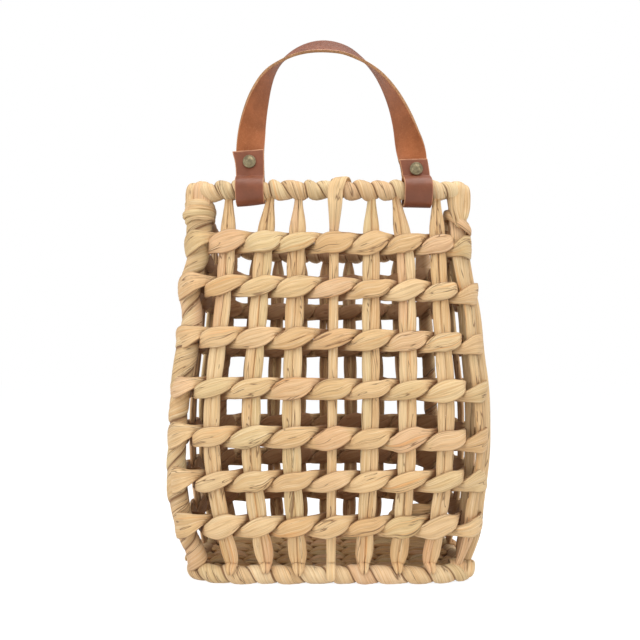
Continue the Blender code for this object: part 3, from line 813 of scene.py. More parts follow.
def worn_edge(sheet, tint, strength):
    """A pale worn line along the strap's long edges and across its ends."""
    u, v, _ = sheet.split(sheet.node("ShaderNodeUVMap", {"uv_map": STRAND_RUN}, {}))
    side = (abs(v) * 1000.0 - (STRAP_WIDTH * 500.0 - 0.75)).between(0.0, 0.45)
    end = (0.9 - u * 1000.0).between(0.0, 0.45)
    wear = sheet.noise(sheet.place(), 160.0, 2.0, 0.6).between(0.30, 0.62)
    return sheet.mixed(side.maths("MAXIMUM", side, end) * (wear * 0.6 + 0.4) * strength, tint,
                       paint(222, 162, 118))


def grain_leather(name, colour):
    """The smooth grain side: fine pebble, pores, clouds of colour and dull rubbed spots."""
    sheet = NodeSheet(name)
    place = sheet.place()
    cloud = sheet.noise(place, 42.0, 4.0, 0.6)
    pebble = sheet.node("ShaderNodeTexVoronoi", {"feature": "DISTANCE_TO_EDGE"},
                        {"Vector": place, "Scale": 1500.0, "Randomness": 1.0})
    pores = sheet.noise(place, 2600.0, 2.0, 0.5)
    rub = sheet.noise(place, 130.0, 5.0, 0.7, 0.4)
    dark = tuple(0.78 * c for c in colour)
    pale = tuple(min(1.0, 1.22 * c + 0.008) for c in colour)
    tint = sheet.mixed(cloud.between(0.25, 0.75), (*dark, 1), (*pale, 1))
    tint = sheet.mixed(rub.between(0.58, 0.80) * 0.25, tint, paint(184, 116, 80))
    tint = sheet.mixed(pores.between(0.62, 0.75) * 0.35, tint, (*tuple(0.4 * c for c in colour), 1))
    tint = worn_edge(sheet, tint, 0.75)
    height = pebble.between(0.0, 0.25) * 0.6 + pores * 0.2 + rub * 0.25
    rough = 0.40 + rub * 0.16 + pores * 0.08
    return sheet.surface(Base_Color=tint, Roughness=rough, Normal=sheet.bump(height, 0.00009),
                         Specular_IOR_Level=0.40, Coat_Weight=0.30, Coat_Roughness=0.30)


def flesh_leather(name, colour):
    """The flesh side: a short nap, brushed in patches."""
    sheet = NodeSheet(name)
    place = sheet.place()
    nap = sheet.noise(place, 900.0, 5.0, 0.72, 0.8)
    brushed = sheet.noise(place, 60.0, 3.0, 0.6, 0.5)
    streak = sheet.noise(place, 240.0, 3.0, 0.6, 1.2)
    dark = tuple(0.80 * c for c in colour)
    pale = tuple(min(1.0, 1.16 * c + 0.01) for c in colour)
    tint = sheet.mixed(brushed.between(0.25, 0.75), (*dark, 1), (*pale, 1))
    tint = sheet.mixed(nap.between(0.45, 0.75) * 0.30, tint, paint(214, 146, 94))
    tint = sheet.mixed(streak.between(0.55, 0.35) * 0.30, tint, (*dark, 1))
    tint = worn_edge(sheet, tint, 0.55)
    return sheet.surface(Base_Color=tint, Roughness=0.80 + nap * 0.14,
                         Normal=sheet.bump(nap * 0.7 + streak * 0.3, 0.00022),
                         Specular_IOR_Level=0.25, Sheen_Weight=0.25, Sheen_Roughness=0.6)


def cut_leather(name, colour):
    """The cut edge: pale layers between the grain side's and the flesh side's dye."""
    sheet = NodeSheet(name)
    place = sheet.place()
    layers = sheet.noise(place, 700.0, 4.0, 0.7, 0.5)
    worn = sheet.noise(place, 120.0, 3.0, 0.6)
    tint = sheet.mixed(layers.between(0.3, 0.7), (*tuple(0.55 * c for c in colour), 1), (*colour, 1))
    tint = sheet.mixed(worn.between(0.5, 0.8) * 0.5, tint, paint(226, 188, 148))
    return sheet.surface(Base_Color=tint, Roughness=0.72 + layers * 0.12,
                         Normal=sheet.bump(layers, 0.00016), Specular_IOR_Level=0.3)


def aged_brass(name, colour):
    """Antique brass: dark patina with rubbed highlights and fine scratches."""
    sheet = NodeSheet(name)
    place = sheet.place()
    patina = sheet.noise(place, 520.0, 5.0, 0.65, 0.4)
    spots = sheet.noise(place, 1500.0, 3.0, 0.6)
    stretched = sheet.node("ShaderNodeMapping", {}, {"Vector": place, "Scale": (1, 1, 14)})
    scratches = sheet.noise(stretched, 420.0)
    dark = tuple(0.62 * c for c in colour)
    pale = tuple(min(1.0, 1.5 * c) for c in colour)
    worn = patina.between(0.34, 0.70)
    tint = sheet.mixed(worn, (*dark, 1), (*colour, 1))
    tint = sheet.mixed(spots.between(0.62, 0.76) * 0.4, tint, (*pale, 1))
    rough = 0.50 - worn * 0.16 + scratches * 0.10
    height = patina * 0.3 + spots * 0.2 + scratches * 0.2
    return sheet.surface(Base_Color=tint, Roughness=rough, Metallic=0.72 + worn * 0.25,
                         Normal=sheet.bump(height, 0.00006))


def lit_floor(name, shown):
    """A plain pale floor. What the camera sees is lifted to white, and the object's shadow stays."""
    sheet = NodeSheet(name)
    place = sheet.place()
    paper = sheet.noise(place, 240.0, 3.0, 0.6)
    tint = sheet.mixed(paper, (0.80, 0.80, 0.80, 1), (0.84, 0.84, 0.84, 1))
    seen = sheet.node("ShaderNodeLightPath", {}, {}, 0)
    glossy = sheet.node("ShaderNodeLightPath", {}, {}, 3)
    through = sheet.node("ShaderNodeLightPath", {}, {}, 6)
    shows = seen.maths("MAXIMUM", seen, glossy.maths("MAXIMUM", glossy, through))
    plain = sheet.node("ShaderNodeBsdfDiffuse", {}, {"Color": tint})
    faint = sheet.node("ShaderNodeBsdfDiffuse", {}, {"Color": (FLOOR_SHADOW,) * 3 + (1,)})
    glow = sheet.node("ShaderNodeEmission", {}, {"Color": (1, 1, 1, 1), "Strength": shown})
    lifted = sheet.node("ShaderNodeAddShader", {}, {0: faint, 1: glow})
    mix = sheet.node("ShaderNodeMixShader", {}, {0: shows, 1: plain, 2: lifted})
    return sheet.shown(mix.socket, "ShaderNodeOutputMaterial")


# Pieces


def twined_strand(name, spine, phase, grips, reaches, broad, rows, rng):
    """One strand of a twined row: over one upright and behind the next, crossing its partner between.

    spine(turn, rise) gives the row's middle and the outward direction. Grips are half widths held flat,
    in turns, reaches how far out the strand runs and broad how much broader its leaves are, all for each
    upright. A strand on its way in crosses above its partner, and on its way out below it."""
    looks = bpy.context.scene.basket_strands
    first, last, count = rows
    turn = np.linspace(first, last, count + 1)
    cell = np.floor(turn).astype(int)
    uprights = len(grips)
    here, beyond = cell % uprights, (cell + 1) % uprights
    free = 1 - grips[here] - grips[beyond]
    x = ease((turn - cell - grips[here]) / free)
    angle = pi * (cell + phase + x)
    period = last - first
    reach = reaches[here] * (1 - x) + reaches[beyond] * x
    reach = reach * (1 + 0.035 * Wander(rng, period, 0.8)(turn))
    held = np.cos(angle) ** 2
    narrow, wide = looks.crossing_height / 2, looks.leaf_height / 2
    wave = np.arcsin(LEAF_CORNER * np.sin(pi * (turn + phase))) / np.arcsin(LEAF_CORNER)
    nearest = np.rint(turn).astype(int) % uprights
    sizes = rng.uniform(0.84, 1.10, uprights)[nearest]
    tall = narrow + (wide * sizes * broad[nearest] - narrow) * (1 - np.abs(wave) ** LEAF_FULLNESS)
    thin = 1 - 0.35 * (broad[nearest] > 1) * held
    thick = looks.leaf_thickness / 2 * thin * (1 + 0.22 * (1 - held))
    thick = thick * (1 + 0.07 * Wander(rng, period, 1.2)(turn))
    big = np.clip(broad[nearest] - 1.1, 0, 1) * (broad[nearest] < 1.2)
    steep = rng.uniform(0.80, 1.15, uprights)[nearest] + 2.4 * big
    rise = (narrow + GAP) * (LEAF_STRAIGHT * wave + (1 - LEAF_STRAIGHT) * wave ** 3)
    rise = rise + looks.leaf_slant * (steep - 1) * np.sin(2 * pi * (turn + phase)) * held
    centre, out = spine(turn, rise, reach * np.cos(angle))
    out, up = square_up(centre, out, True)
    lean = looks.leaf_lean * np.sin(2 * angle) * (1 + 0.25 * Wander(rng, period, 0.9)(turn))
    lean = lean + 0.08 * Wander(rng, period, 1.1)(turn) * held
    out, up = rolled(out, up, lean)
    angles = even_angles(ROW_SIDES, looks.leaf_thickness / looks.leaf_height)
    run = path_length(centre)
    length = run[-1]
    dents = sum(creases(rng, run, length, angles, count, looks.crease_depth * share, spread)
                for count, share, spread in LEAF_CREASES)
    # Painted shade on the part that passes behind its partner and the upright
    tucked = TUCK_SHADE * np.clip((-0.12 - np.cos(angle)) / 0.50, 0, 1)
    # Painted shade along the leaf's upper and lower edges
    edge = LEAF_EDGE_SHADE * np.clip((np.abs(np.sin(angles)) - 0.86) / 0.10, 0, 1)
    painted_shade = np.maximum(tucked[:, None], edge[None, :])
    points = ribbon(centre, out, up, tall, thick, angles, dents, 0.66, 1.0)
    points[-1] = points[0]
    girth = girth_of(angles, looks.leaf_thickness, looks.leaf_height) / 2
    growth = growth_along(rng, uprights, turn, 0.0, (0.05, 0.85))
    return surface(name, points, run, girth, growth, painted_shade, points.mean(axis=1, keepdims=True))


def row_spine(row):
    """How a row runs round the wall."""
    def spine(turn, rise, reach):
        level = row_level(row, turn) + rise / BODY_HEIGHT
        out = WALL.outward(turn, row_level(row, turn))
        return WALL.point(turn, level) + out * reach[:, None], out
    return spine


def loose_leaf(name, row, ends, rng):
    """A strand's end that stands up behind a row, from one upright to the next."""
    looks = bpy.context.scene.basket_strands
    (first, low), (last, high), half_height = ends
    share = np.linspace(0, 1, 40)
    turn = first + (last - first) * share
    level = row_level(row, turn) + (low + (high - low) * share + 0.0010 * np.sin(pi * share)) / BODY_HEIGHT
    out = WALL.outward(turn, level)
    behind = STAKE_THICKNESS / 2 + looks.leaf_thickness + 0.0012
    centre = WALL.point(turn, level) - out * behind
    half = half_height * np.sin(pi * np.clip(share * 0.86 + 0.10, 0, 1)) ** 0.8
    # The loose leaf behind the row gets painted shade all over
    return free_strand(name, rng, centre, out, half, np.full(40, 0.0012), 0.0005, (0.0, 0.3), 0.20)


def row_strands(row):
    """Both strands of a twined row."""
    looks = bpy.context.scene.basket_strands
    level = ROW_SHARES[row]
    uprights = np.arange(UPRIGHTS)
    lengths = np.linalg.norm(WALL.run(uprights.astype(float), np.full(UPRIGHTS, level)), axis=1)
    edges = np.array([pinched_width(k) for k in uprights]) / lengths
    reaches = np.array([half_thickness(k) + GAP + looks.leaf_thickness / 2 + (POST_EASE if is_post(k) else 0)
                        for k in uprights])
    reaches[0] += LEFT_LOOPS[row]
    broad = np.ones(UPRIGHTS)
    broad[list(BIG_LEAVES[row])] = looks.big_leaf
    broad[0] = looks.corner_leaf
    broad[[NEAR_POSTS[1], *FAR_POSTS]] = 1.0 + 0.4 * (looks.corner_leaf - 1)
    made = []
    for phase, letter in enumerate("ab"):
        rng = np.random.default_rng(1000 + 10 * row + phase)
        rows = (ROW_START, ROW_START + UPRIGHTS, ROW_RINGS * UPRIGHTS)
        strand = twined_strand(f"twined_row_{row + 1}_{letter}", row_spine(row), phase, edges * GRIP_SHARE,
                               reaches, broad, rows, rng)
        if (row, letter) in LOOSE_LEAVES:
            loose = loose_leaf(f"row_{row + 1}_loose_leaf", row, LOOSE_LEAVES[row, letter], rng)
            strand = joined(f"twined_row_{row + 1}_{letter}", [strand, loose])
        dress(strand, fibre_for("strand_fibre"), BASKET, [f"row_{row + 1}_strand_{letter}"])
        made.append(strand)
    return made


def row_marks(turn):
    """The heights of the rows at a turn, as shares of the body's height, with the foot and the rim."""
    return [0.02, *(float(row_level(row, turn)) for row in range(len(ROW_SHARES))), 0.985]


def widths_between(levels, marks, pinched, full, ends):
    """A width that is pinched at each row, full between them, and narrows to the foot and the rim."""
    width = np.full(len(levels), pinched)
    for low, high in zip(marks, marks[1:]):
        x = np.clip((levels - low) / (high - low), 0, 1)
        width = np.maximum(width, pinched + (full - pinched) * np.sin(pi * x) ** 0.7)
    low_end, high_end = ends
    x = (levels - levels[0]) / (marks[1] - levels[0])
    below = pinched + (full - pinched) * ease((1 - x) / 0.40)
    foot = np.clip(x / 0.46, 0, 1)
    below = low_end + (below - low_end) * np.sin(foot * pi / 2) ** 0.9
    head = ease((levels[-1] - levels) / (levels[-1] - marks[-2]) * 1.1)
    width = np.where(levels < marks[1], below, width)
    return np.where(levels > marks[-2], high_end + (width - high_end) * head, width)


def upright_strand(name, index, rng, offsets, half, thick, levels, lift, sides, twist=0.0):
    """One flattened strand of an upright, from the foot to the rim."""
    looks = bpy.context.scene.basket_strands
    turns = np.full(len(levels), float(index))
    along = unit(WALL.run(turns, levels))
    out = WALL.outward(turns, levels)
    centre = WALL.point(turns, levels) + along * offsets[:, None] + out * lift[:, None]
    run = path_length(centre)
    length = run[-1]
    direction = unit(np.gradient(centre, axis=0))
    out = unit(out - (out * direction).sum(axis=1, keepdims=True) * direction)
    side = np.cross(direction, out)
    out, side = rolled(out, side, twist + 0.16 * Wander(rng, length, 0.05)(run))
    angles = even_angles(sides, 0.45)
    dents = creases(rng, run, length, angles, 3, looks.crease_depth * 0.7, 0.12)
    taper = rounded_ends(run, 0.004)
    points = ribbon(centre, out, side, half * taper, thick * taper, angles, dents * taper[:, None])
    girth = girth_of(angles, thick.mean(), half.mean())
    growth = growth_along(rng, 5, run / length * 3.9)
    # Painted shade along the strand's edges, and in surface on its inner side
    edge = edge_shade(angles, 0.92, STRAND_EDGE_SHADE)
    return surface(name, points, run, girth, growth, edge[None, :], points.mean(axis=1, keepdims=True))


def tip_path(levels):
    """How far out a stake's foot lies, as it runs down over the outside of the foot's rope."""
    centre = BORDER_DIAMETER / 2 - BORDER_FLAT_DEPTH
    radius = BORDER_DIAMETER / 2 + STAKE_THICKNESS / 2 - 0.0004
    height = np.clip(levels * BODY_HEIGHT - centre, 0, radius)
    over = np.sqrt(np.clip(radius ** 2 - height ** 2, 0, None))
    return np.where(levels * BODY_HEIGHT < centre + radius, over, 0.0)


def stake_levels(tip_height):
    """Levels down a stake, close together where it bends over the foot's rope."""
    low = tip_height / BODY_HEIGHT
    count = int(ceil((STAKE_TOP_SHARE - low) * BODY_HEIGHT / STAKE_RING))
    even = np.linspace(low, STAKE_TOP_SHARE, count)
    near_foot = np.linspace(low, 0.06, 14)
    return np.unique(np.concatenate([near_foot, even[even > 0.062]]))


def stake(index, name, node):
    """A stake: two flattened strands side by side, or one at the middle of the near wall."""
    looks = bpy.context.scene.basket_strands
    rng = np.random.default_rng(2000 + index)
    middle = index == MIDDLE_UPRIGHT
    tip = 0.0030 if middle else rng.uniform(0.0062, 0.0088)
    levels = stake_levels(tip)
    marks = row_marks(index)
    full = MIDDLE_STAKE_WIDTH / 2 if middle else looks.stake_width / 2 * rng.uniform(0.92, 1.06)
    pinched = min(full, STAKE_PINCH_WIDTH / 2 + 0.0004)
    ends = (full * 0.9, full * 0.8) if middle else (0.0012, 0.0027)
    width = widths_between(levels, marks, pinched, full, ends)
    lift = tip_path(levels)
    if middle:
        thick = np.full(len(levels), STAKE_THICKNESS / 2)
        pieces = [upright_strand(name, index, rng, 0 * levels, width, thick, levels, lift, STAKE_SIDES)]
        for start, across, wide, slant, proud in FOLDS[index]:
            pieces.append(fold_over(f"{name}_fold", index, start, across, wide, slant, proud, rng))
    else:
        split = rng.uniform(0.42, 0.58)
        drift = 0.05 * Wander(rng, 1.0, 0.2)(levels)
        pieces = []
        for side, share in ((-1, split), (1, 1 - split)):
            part = share + side * drift
            half = np.maximum(width * part + 0.00015, 0.0004)
            offset = side * width * (1 - part)
            thick = np.full(len(levels), STAKE_THICKNESS / 2 * rng.uniform(0.92, 1.05))
            strand = upright_strand(f"{name}_{side}", index, rng, offset, half, thick, levels,
                                    lift + 0.0002 * side, STAKE_SIDES, side * 0.22)
            pieces.append(strand)
    made = joined(name, pieces)
    dress(made, fibre_for("strand_fibre"), BASKET, [node])
    return made


def read_table(table, places):
    """Rows of values at places, from a smooth curve through a table whose first column is the place."""
    return [np.array([smooth_read([(row[0], row[k]) for row in table], place) for place in places])
            for k in range(1, len(table[0]))]


def wound_post(index, name, table):
    """A corner post: one broad flat strand wound up it, each wind tucked under the next."""
    looks = bpy.context.scene.basket_strands
    rng = np.random.default_rng(3000 + index)
    low = (BORDER_DIAMETER - BORDER_FLAT_DEPTH - 0.0050) / BODY_HEIGHT
    fine = np.linspace(low, 0.99, 400)
    width, lean = read_table(table, fine)
    turns = np.full(len(fine), float(index))
    line = WALL.point(turns, fine)
    line[:, 0] += lean * np.sign(line[0, 0])
    lengths = path_length(line)
    winds = int(round(lengths[-1] / looks.post_pitch))
    pitch = lengths[-1] / winds
    turn = np.arange(-WRAP_STEPS, winds * WRAP_STEPS + 1) / WRAP_STEPS
    lanes = np.linspace(0, 1, WRAP_LANES + 1)
    skew = Wander(rng, winds + 1, 1.3, 7)
    edge = turn + 0.17 * skew(turn)
    next_edge = turn + 1 + 0.17 * skew(turn + 1)
    place = np.clip((edge[:, None] * (1 - lanes) + next_edge[:, None] * lanes) * pitch, 0, lengths[-1])
    centre = np.stack([np.interp(place, lengths, line[:, k]) for k in range(3)], axis=-1)
    level = np.interp(place, lengths, fine)
    half = np.interp(level, fine, width) / 2
    fat = 1 + 0.30 * Wander(rng, winds + 1, 0.9, 7)(turn)
    crown = (1 - np.exp(-lanes / 0.07)) * (1 - 0.90 * lanes ** 1.6)
    bulge = looks.post_fold
    radius = half - bulge + bulge * fat[:, None] * crown[None, :]
    for k in range(5):
        home = 0.16 + 0.16 * k + 0.08 * Wander(rng, winds + 1, 0.5)(turn)
        size = looks.crease_depth * 0.9 * np.clip(Wander(rng, winds + 1, 0.3)(turn) + 0.2, 0, 1.3)
        radius = radius - size[:, None] * np.exp(-((lanes[None, :] - home[:, None]) / 0.035) ** 2)
    round_ = 2 * pi * turn
    front = np.array([0.0, -1.0, 0.0])
    side = np.array([1.0, 0.0, 0.0])
    away = front[None, :] * (0.84 * np.cos(round_))[:, None] + side[None, :] * np.sin(round_)[:, None]
    points = centre + radius[..., None] * away[:, None, :]
    along = (2 * pi * turn * looks.post_width / 2)[:, None] + 0 * lanes[None, :]
    across = lanes[None, :] * pitch + 0 * along
    growth = growth_along(rng, winds + 3, turn + 1.5, 0.0, (0.2, 0.9))
    # Painted shade where each wind tucks under the next
    seam_shade = np.exp(-lanes / 0.05) * 0.75 + np.clip((lanes - 0.90) / 0.10, 0, 1)
    return surface(name, points, along, across, growth, np.clip(seam_shade, 0, 1)[None, :], centre)


def free_strand(name, rng, centre, out, half, thick, depth, tones=(0.2, 1.0), shade=0.0, curl=0.0):
    """A flat strand along a row of points, with both ends closed. Curl bends its edges back, and shade is
    painted shade over the whole strand.
    """
    looks = bpy.context.scene.basket_strands
    out, side = square_up(centre, out)
    run = path_length(centre)
    length = run[-1]
    out, side = rolled(out, side, 0.10 * Wander(rng, length, 0.03)(run))
    angles = even_angles(STAKE_SIDES, 0.4)
    dents = creases(rng, run, length, angles, 3, depth, 0.06)
    dents += creases(rng, run, length, angles, 5, looks.crease_depth * 0.3, 0.05)
    taper = rounded_ends(run, 0.005)
    points = ribbon(centre, out, side, half * taper, thick * taper, angles, dents * taper[:, None])
    bend = curl * ((half * taper)[:, None] * np.sin(angles)[None, :]) ** 2
    points = points - out[:, None, :] * bend[..., None]
    girth = girth_of(angles, FREE_HALF, half.mean())
    # Painted shade along the edges, and at least the given painted shade all over
    edge = np.maximum(edge_shade(angles, 0.90, STRAND_EDGE_SHADE), shade)[None, :]
    growth = growth_along(rng, 4, run / length * 2.9, 0.0, tones)
    return surface(name, points, run, girth, growth, edge, points.mean(axis=1, keepdims=True))


def upright_bundle(index, name, strands):
    """A corner post of flat strands: tables of share of the height, right, front and half width."""
    pieces = []
    for k, table in enumerate(strands):
        rng = np.random.default_rng(3100 + 10 * index + k)
        low, high = table[0][0], table[-1][0]
        levels = np.linspace(low, high, int((high - low) * BODY_HEIGHT / 0.0014))
        right, front, half = read_table(table, levels)
        centre = WALL.point(np.full(len(levels), float(index)), levels)
        centre[:, 0] += right
        centre[:, 1] -= front
        out = np.tile([0.25 * np.sign(right.mean()), -1.0, 0.0], (len(levels), 1))
        thick = np.full(len(levels), 0.0019)
        pieces.append(free_strand(f"{name}_{k}", rng, centre, out, half, thick, 0.0004))
    return pieces


def fold_over(name, index, start, across, width, slant, proud, rng):
    """A strand that runs up an upright's outside and folds over the rim, slanting as it goes."""
    looks = bpy.context.scene.basket_strands
    radius = RIM_DIAMETER / 2 + proud
    arc = np.radians(np.linspace(-15, 190, 44))
    progress = (arc - arc[0]) / (arc[-1] - arc[0])
    turn = np.full(len(arc), float(index))
    front, right = np.array([0.0, -1.0, 0.0]), np.array([1.0, 0.0, 0.0])
    out = np.tile(front, (len(arc), 1))
    side = np.tile(right, (len(arc), 1))
    rim = WALL.point(turn, 1.0)
    up = np.array([0.0, 0.0, 1.0])
    shift = across[1] + slant * progress
    over = (rim + side * shift[:, None] + out * (radius * np.cos(arc))[:, None]
            + up[None, :] * (radius * np.sin(arc))[:, None])
    levels = np.linspace(start, 0.965, 22)
    below = WALL.point(np.full(22, float(index)), levels)
    rise = ease((levels - start) / (0.965 - start))
    gap = POST_HEAD if is_post(index) else STAKE_THICKNESS / 2 + looks.fold_thickness / 2
    below = below + front * (gap + (radius - gap) * rise)[:, None]
    below = below + side[:1] * (across[0] + (across[1] - across[0]) * rise)[:, None]
    centre = np.concatenate([below, over])
    directions = np.concatenate([out[:1].repeat(22, axis=0),
                                 out * np.cos(arc)[:, None] + up[None, :] * np.sin(arc)[:, None]])
    run = path_length(centre)
    steps = np.linspace(0, run[-1], int(run[-1] / 0.0011))
    centre = np.stack([np.interp(steps, run, centre[:, k]) for k in range(3)], axis=-1)
    directions = np.stack([np.interp(steps, run, directions[:, k]) for k in range(3)], axis=-1)
    for _ in range(3):
        centre[1:-1] = (centre[:-2] + centre[1:-1] * 2 + centre[2:]) / 4
    share = steps / steps[-1]
    half = (width[0] + (width[1] - width[0]) * ease(share * 2.2)) / 2
    thick = np.full(len(steps), looks.fold_thickness / 2)
    curl = POST_CURL if is_post(index) else 0.0
    return free_strand(name, rng, centre, unit(directions), half, thick, 0.0005, curl=curl)


def foot_knob(name, index, across, half_width, proud, rng):
    """A strand's end folded over the foot's rope beside a corner post."""
    looks = bpy.context.scene.basket_strands
    arc = np.radians(np.linspace(-22, 165, 40))
    radius = BORDER_DIAMETER / 2 + proud
    middle = WALL.point(np.array([float(index)]), np.array([0.0]))[0]
    middle = middle + np.array([across, 0.0, BORDER_DIAMETER / 2 - BORDER_FLAT_DEPTH - middle[2]])
    away = np.stack([0 * arc, -np.cos(arc), np.sin(arc)], axis=1)
    centre = middle + away * radius + np.array([1.0, 0.0, 0.0]) * (0.0020 * np.sin(arc))[:, None]
    centre[:, 2] = np.maximum(centre[:, 2], looks.fold_thickness / 2 + 0.0016)
    half = half_width * (0.72 + 0.28 * np.sin(pi * np.linspace(0.1, 0.9, len(arc))))
    thick = np.full(len(arc), looks.fold_thickness / 2)
    return free_strand(name, rng, centre, unit(away), half, thick, 0.0005)


def collar(name, index, drop, radius, tilt, half_width, rng):
    """A flat strand wound once round a corner post's head."""
    looks = bpy.context.scene.basket_strands
    places = np.linspace(0.03, 1.12, 90)
    turn = 2 * pi * places
    level = np.full(len(places), 1 - drop / BODY_HEIGHT)
    centre = WALL.point(np.full(len(places), float(index)), level)
    away = np.stack([0.93 * np.sin(turn), 0.96 * np.cos(turn), 0 * turn], axis=1)
    swell = radius * (1 + 0.05 * Wander(rng, 1.2, 0.3)(places) - 0.10 * ease((places - 0.85) / 0.3))
    centre = centre + away * swell[:, None]
    centre[:, 2] += tilt * np.sin(turn) + 0.0030 * (places - 0.5)
    half = half_width * (1 + 0.18 * Wander(rng, 1.2, 0.2)(places))
    thick = np.full(len(places), looks.fold_thickness / 2)
    return free_strand(name, rng, centre, unit(away), half, thick, 0.0005)


def post(index, name, node):
    """A corner post, with the strands that fold over the rim at the near corners."""
    rng = np.random.default_rng(3500 + index)
    if index == NEAR_POSTS[1]:
        pieces = upright_bundle(index, name, RIGHT_POST)
    else:
        pieces = [wound_post(index, name, LEFT_POST if index == 0 else FAR_POST)]
    for k, (start, across, width, slant, proud) in enumerate(FOLDS.get(index, ())):
        pieces.append(fold_over(f"{name}_fold_{k}", index, start, across, width, slant, proud, rng))
    for k, (drop, radius, tilt, half_width) in enumerate(COLLARS.get(index, ())):
        pieces.append(collar(f"{name}_collar_{k}", index, drop, radius, tilt, half_width, rng))
    for k, (across, half_width, proud) in enumerate(KNOBS.get(index, ())):
        pieces.append(foot_knob(f"{name}_knob_{k}", index, across, half_width, proud, rng))
    made = joined(name, pieces)
    dress(made, fibre_for("post_fibre"), BASKET, [node])
    return made


def wound_rope(name, level, diameter, bulge, pitch, rng, floor=None):
    """A rope round the basket: one flat strand wound side by side along its whole length."""
    looks = bpy.context.scene.basket_strands
    fine = np.linspace(0, UPRIGHTS, 2401)
    line = WALL.point(fine, np.full(len(fine), level))
    lengths = path_length(line)
    total = lengths[-1]
    winds = int(round(total / pitch))
    pitch = total / winds
    turn = np.arange(winds * WRAP_STEPS + 1) / WRAP_STEPS
    lanes = np.linspace(0, 1, WRAP_LANES + 1)
    skew = Wander(rng, winds, 1.6)
    edge = turn + 0.10 * skew(turn)
    next_edge = turn + 1 + 0.10 * skew(turn + 1)
    place = (edge[:, None] * (1 - lanes) + next_edge[:, None] * lanes) * pitch
    at = np.interp(place % total, lengths, fine)
    centre = WALL.point(at, np.full(at.shape, level))
    out = WALL.outward(at, np.full(at.shape, level))
    up = np.array([0.0, 0.0, 1.0])
    round_ = 2 * pi * turn
    fat = 1 + 0.13 * Wander(rng, winds, 1.1, 7)(turn)
    crown = np.sin(pi * lanes) ** 0.50 * (1 + 0.22 * np.cos(pi * lanes))
    radius = diameter / 2 - bulge + bulge * fat[:, None] * crown[None, :]
    for k in range(4):
        home = 0.18 + 0.21 * k + 0.06 * Wander(rng, winds, 0.7)(turn)
        size = looks.crease_depth * 0.55 * np.clip(0.5 + 0.8 * Wander(rng, winds, 0.5)(turn), 0, 1.3)
        radius = radius - size[:, None] * np.exp(-((lanes[None, :] - home[:, None]) / 0.045) ** 2)
    away = up[None, :] * np.cos(round_)[:, None]
    points = (centre + radius[..., None] * (away[:, None, :] + out * np.sin(round_)[:, None, None]))
    if floor is not None:
        points[..., 2] = np.maximum(points[..., 2], floor)
    along = (round_ * diameter / 2)[:, None] + 0 * lanes[None, :]
    across = lanes[None, :] * pitch + 0 * along
    growth = growth_along(rng, winds, turn, 0.0, (0.15, 1.0))
    # Painted shade in the grooves between the winds
    seam_shade = np.clip(1 - np.minimum(lanes, 1 - lanes) / 0.10, 0, 1) ** 1.4
    return surface(name, points, along, across, growth, seam_shade[None, :], centre)


def foot_level():
    """The foot rope's height, as a share of the body's."""
    return (BORDER_DIAMETER / 2 - BORDER_FLAT_DEPTH) / BODY_HEIGHT


def base_line(y, side):
    """How far the floor reaches to one side at y, inside the foot's rope."""
    turns = np.linspace(0, UPRIGHTS, 385)
    line = WALL.point(turns, np.full(len(turns), foot_level()))
    clear = BORDER_DIAMETER / 2
    close = (line[:, 0] * side > 0) & (np.abs(line[:, 1] - y) < clear)
    return np.abs(line[close, 0]).min() - clear * 0.6


def floor_weave():
    """The floor's twined rows, side by side from the near side to the far side."""
    looks = bpy.context.scene.basket_strands
    near = WALL.point(1.0, foot_level())[1] + BORDER_DIAMETER / 2
    far = WALL.point(FAR_POSTS[0] + 1.0, foot_level())[1] - BORDER_DIAMETER / 2
    count = int(round((far - near + 0.006) / looks.floor_pitch))
    pitch = (far - near + 0.004) / count
    pieces = []
    for row in range(count):
        y = near + pitch * (row + 0.4)
        left, right = base_line(y, -1), base_line(y, 1)
        hand = 1 if row % 2 == 0 else -1
        spacing = 2 * BASE_SPREAD * min(left, right) / (BASE_STAKES - 1)

        def spine(turn, rise, reach):
            x = (turn - (BASE_STAKES - 1) / 2) * spacing
            centre = np.stack([x, y + hand * rise, BASE_HEIGHT + reach], axis=1)
            return centre, np.tile([0.0, 0.0, 1.0], (len(turn), 1))
        first = (BASE_STAKES - 1) / 2 - left / spacing
        last = (BASE_STAKES - 1) / 2 + right / spacing
        stakes = BASE_STAKES + 4
        grips = np.full(stakes, BASE_STAKE_WIDTH / 2 / spacing * 0.6)
        reaches = np.full(stakes, BASE_STAKE_THICKNESS / 2 + looks.floor_thickness / 2)
        for phase in (0, 1):
            rng = np.random.default_rng(5000 + 10 * row + phase)
            pieces.append(floor_strand(f"floor_{row}_{phase}", spine, phase, grips, reaches, first, last,
                                       pitch, rng))
    made = joined("floor_weave", pieces)
    dress(made, fibre_for("base_fibre"), BASKET, ["base_weaver"])
    return made


def floor_strand(name, spine, phase, grips, reaches, first, last, pitch, rng):
    """One strand of a floor row, over one base stake and under the next."""
    looks = bpy.context.scene.basket_strands
    turn = np.linspace(first, last, 110)
    cell = np.floor(turn).astype(int)
    stakes = len(grips)
    here, beyond = cell % stakes, (cell + 1) % stakes
    x = ease((turn - cell - grips[here]) / (1 - grips[here] - grips[beyond]))
    angle = pi * (cell + phase + x)
    held = np.cos(angle) ** 2
    wide, narrow = pitch / 2 * 1.02, pitch / 4 * 1.1
    tall = (narrow + (wide - narrow) * held) * (1 + 0.08 * Wander(rng, last - first, 1.0)(turn))
    thick = looks.floor_thickness / 2 * (1 + 0.35 * (1 - held))
    rise = narrow * np.sin(angle)
    centre, out = spine(turn, rise, reaches[here] * np.cos(angle))
    out, up = square_up(centre, out)
    run = path_length(centre)
    angles = even_angles(18, 0.4)
    dents = creases(rng, run, run[-1], angles, 3, looks.crease_depth * 0.6, 0.12)
    taper = rounded_ends(run, 0.003)
    points = ribbon(centre, out, up, tall * taper, thick * taper, angles, dents * taper[:, None])
    points[..., 2] = np.maximum(points[..., 2], 0.0006)
    girth = girth_of(angles, thick.mean(), wide)
    return surface(name, points, run, girth, growth_along(rng, stakes, turn))


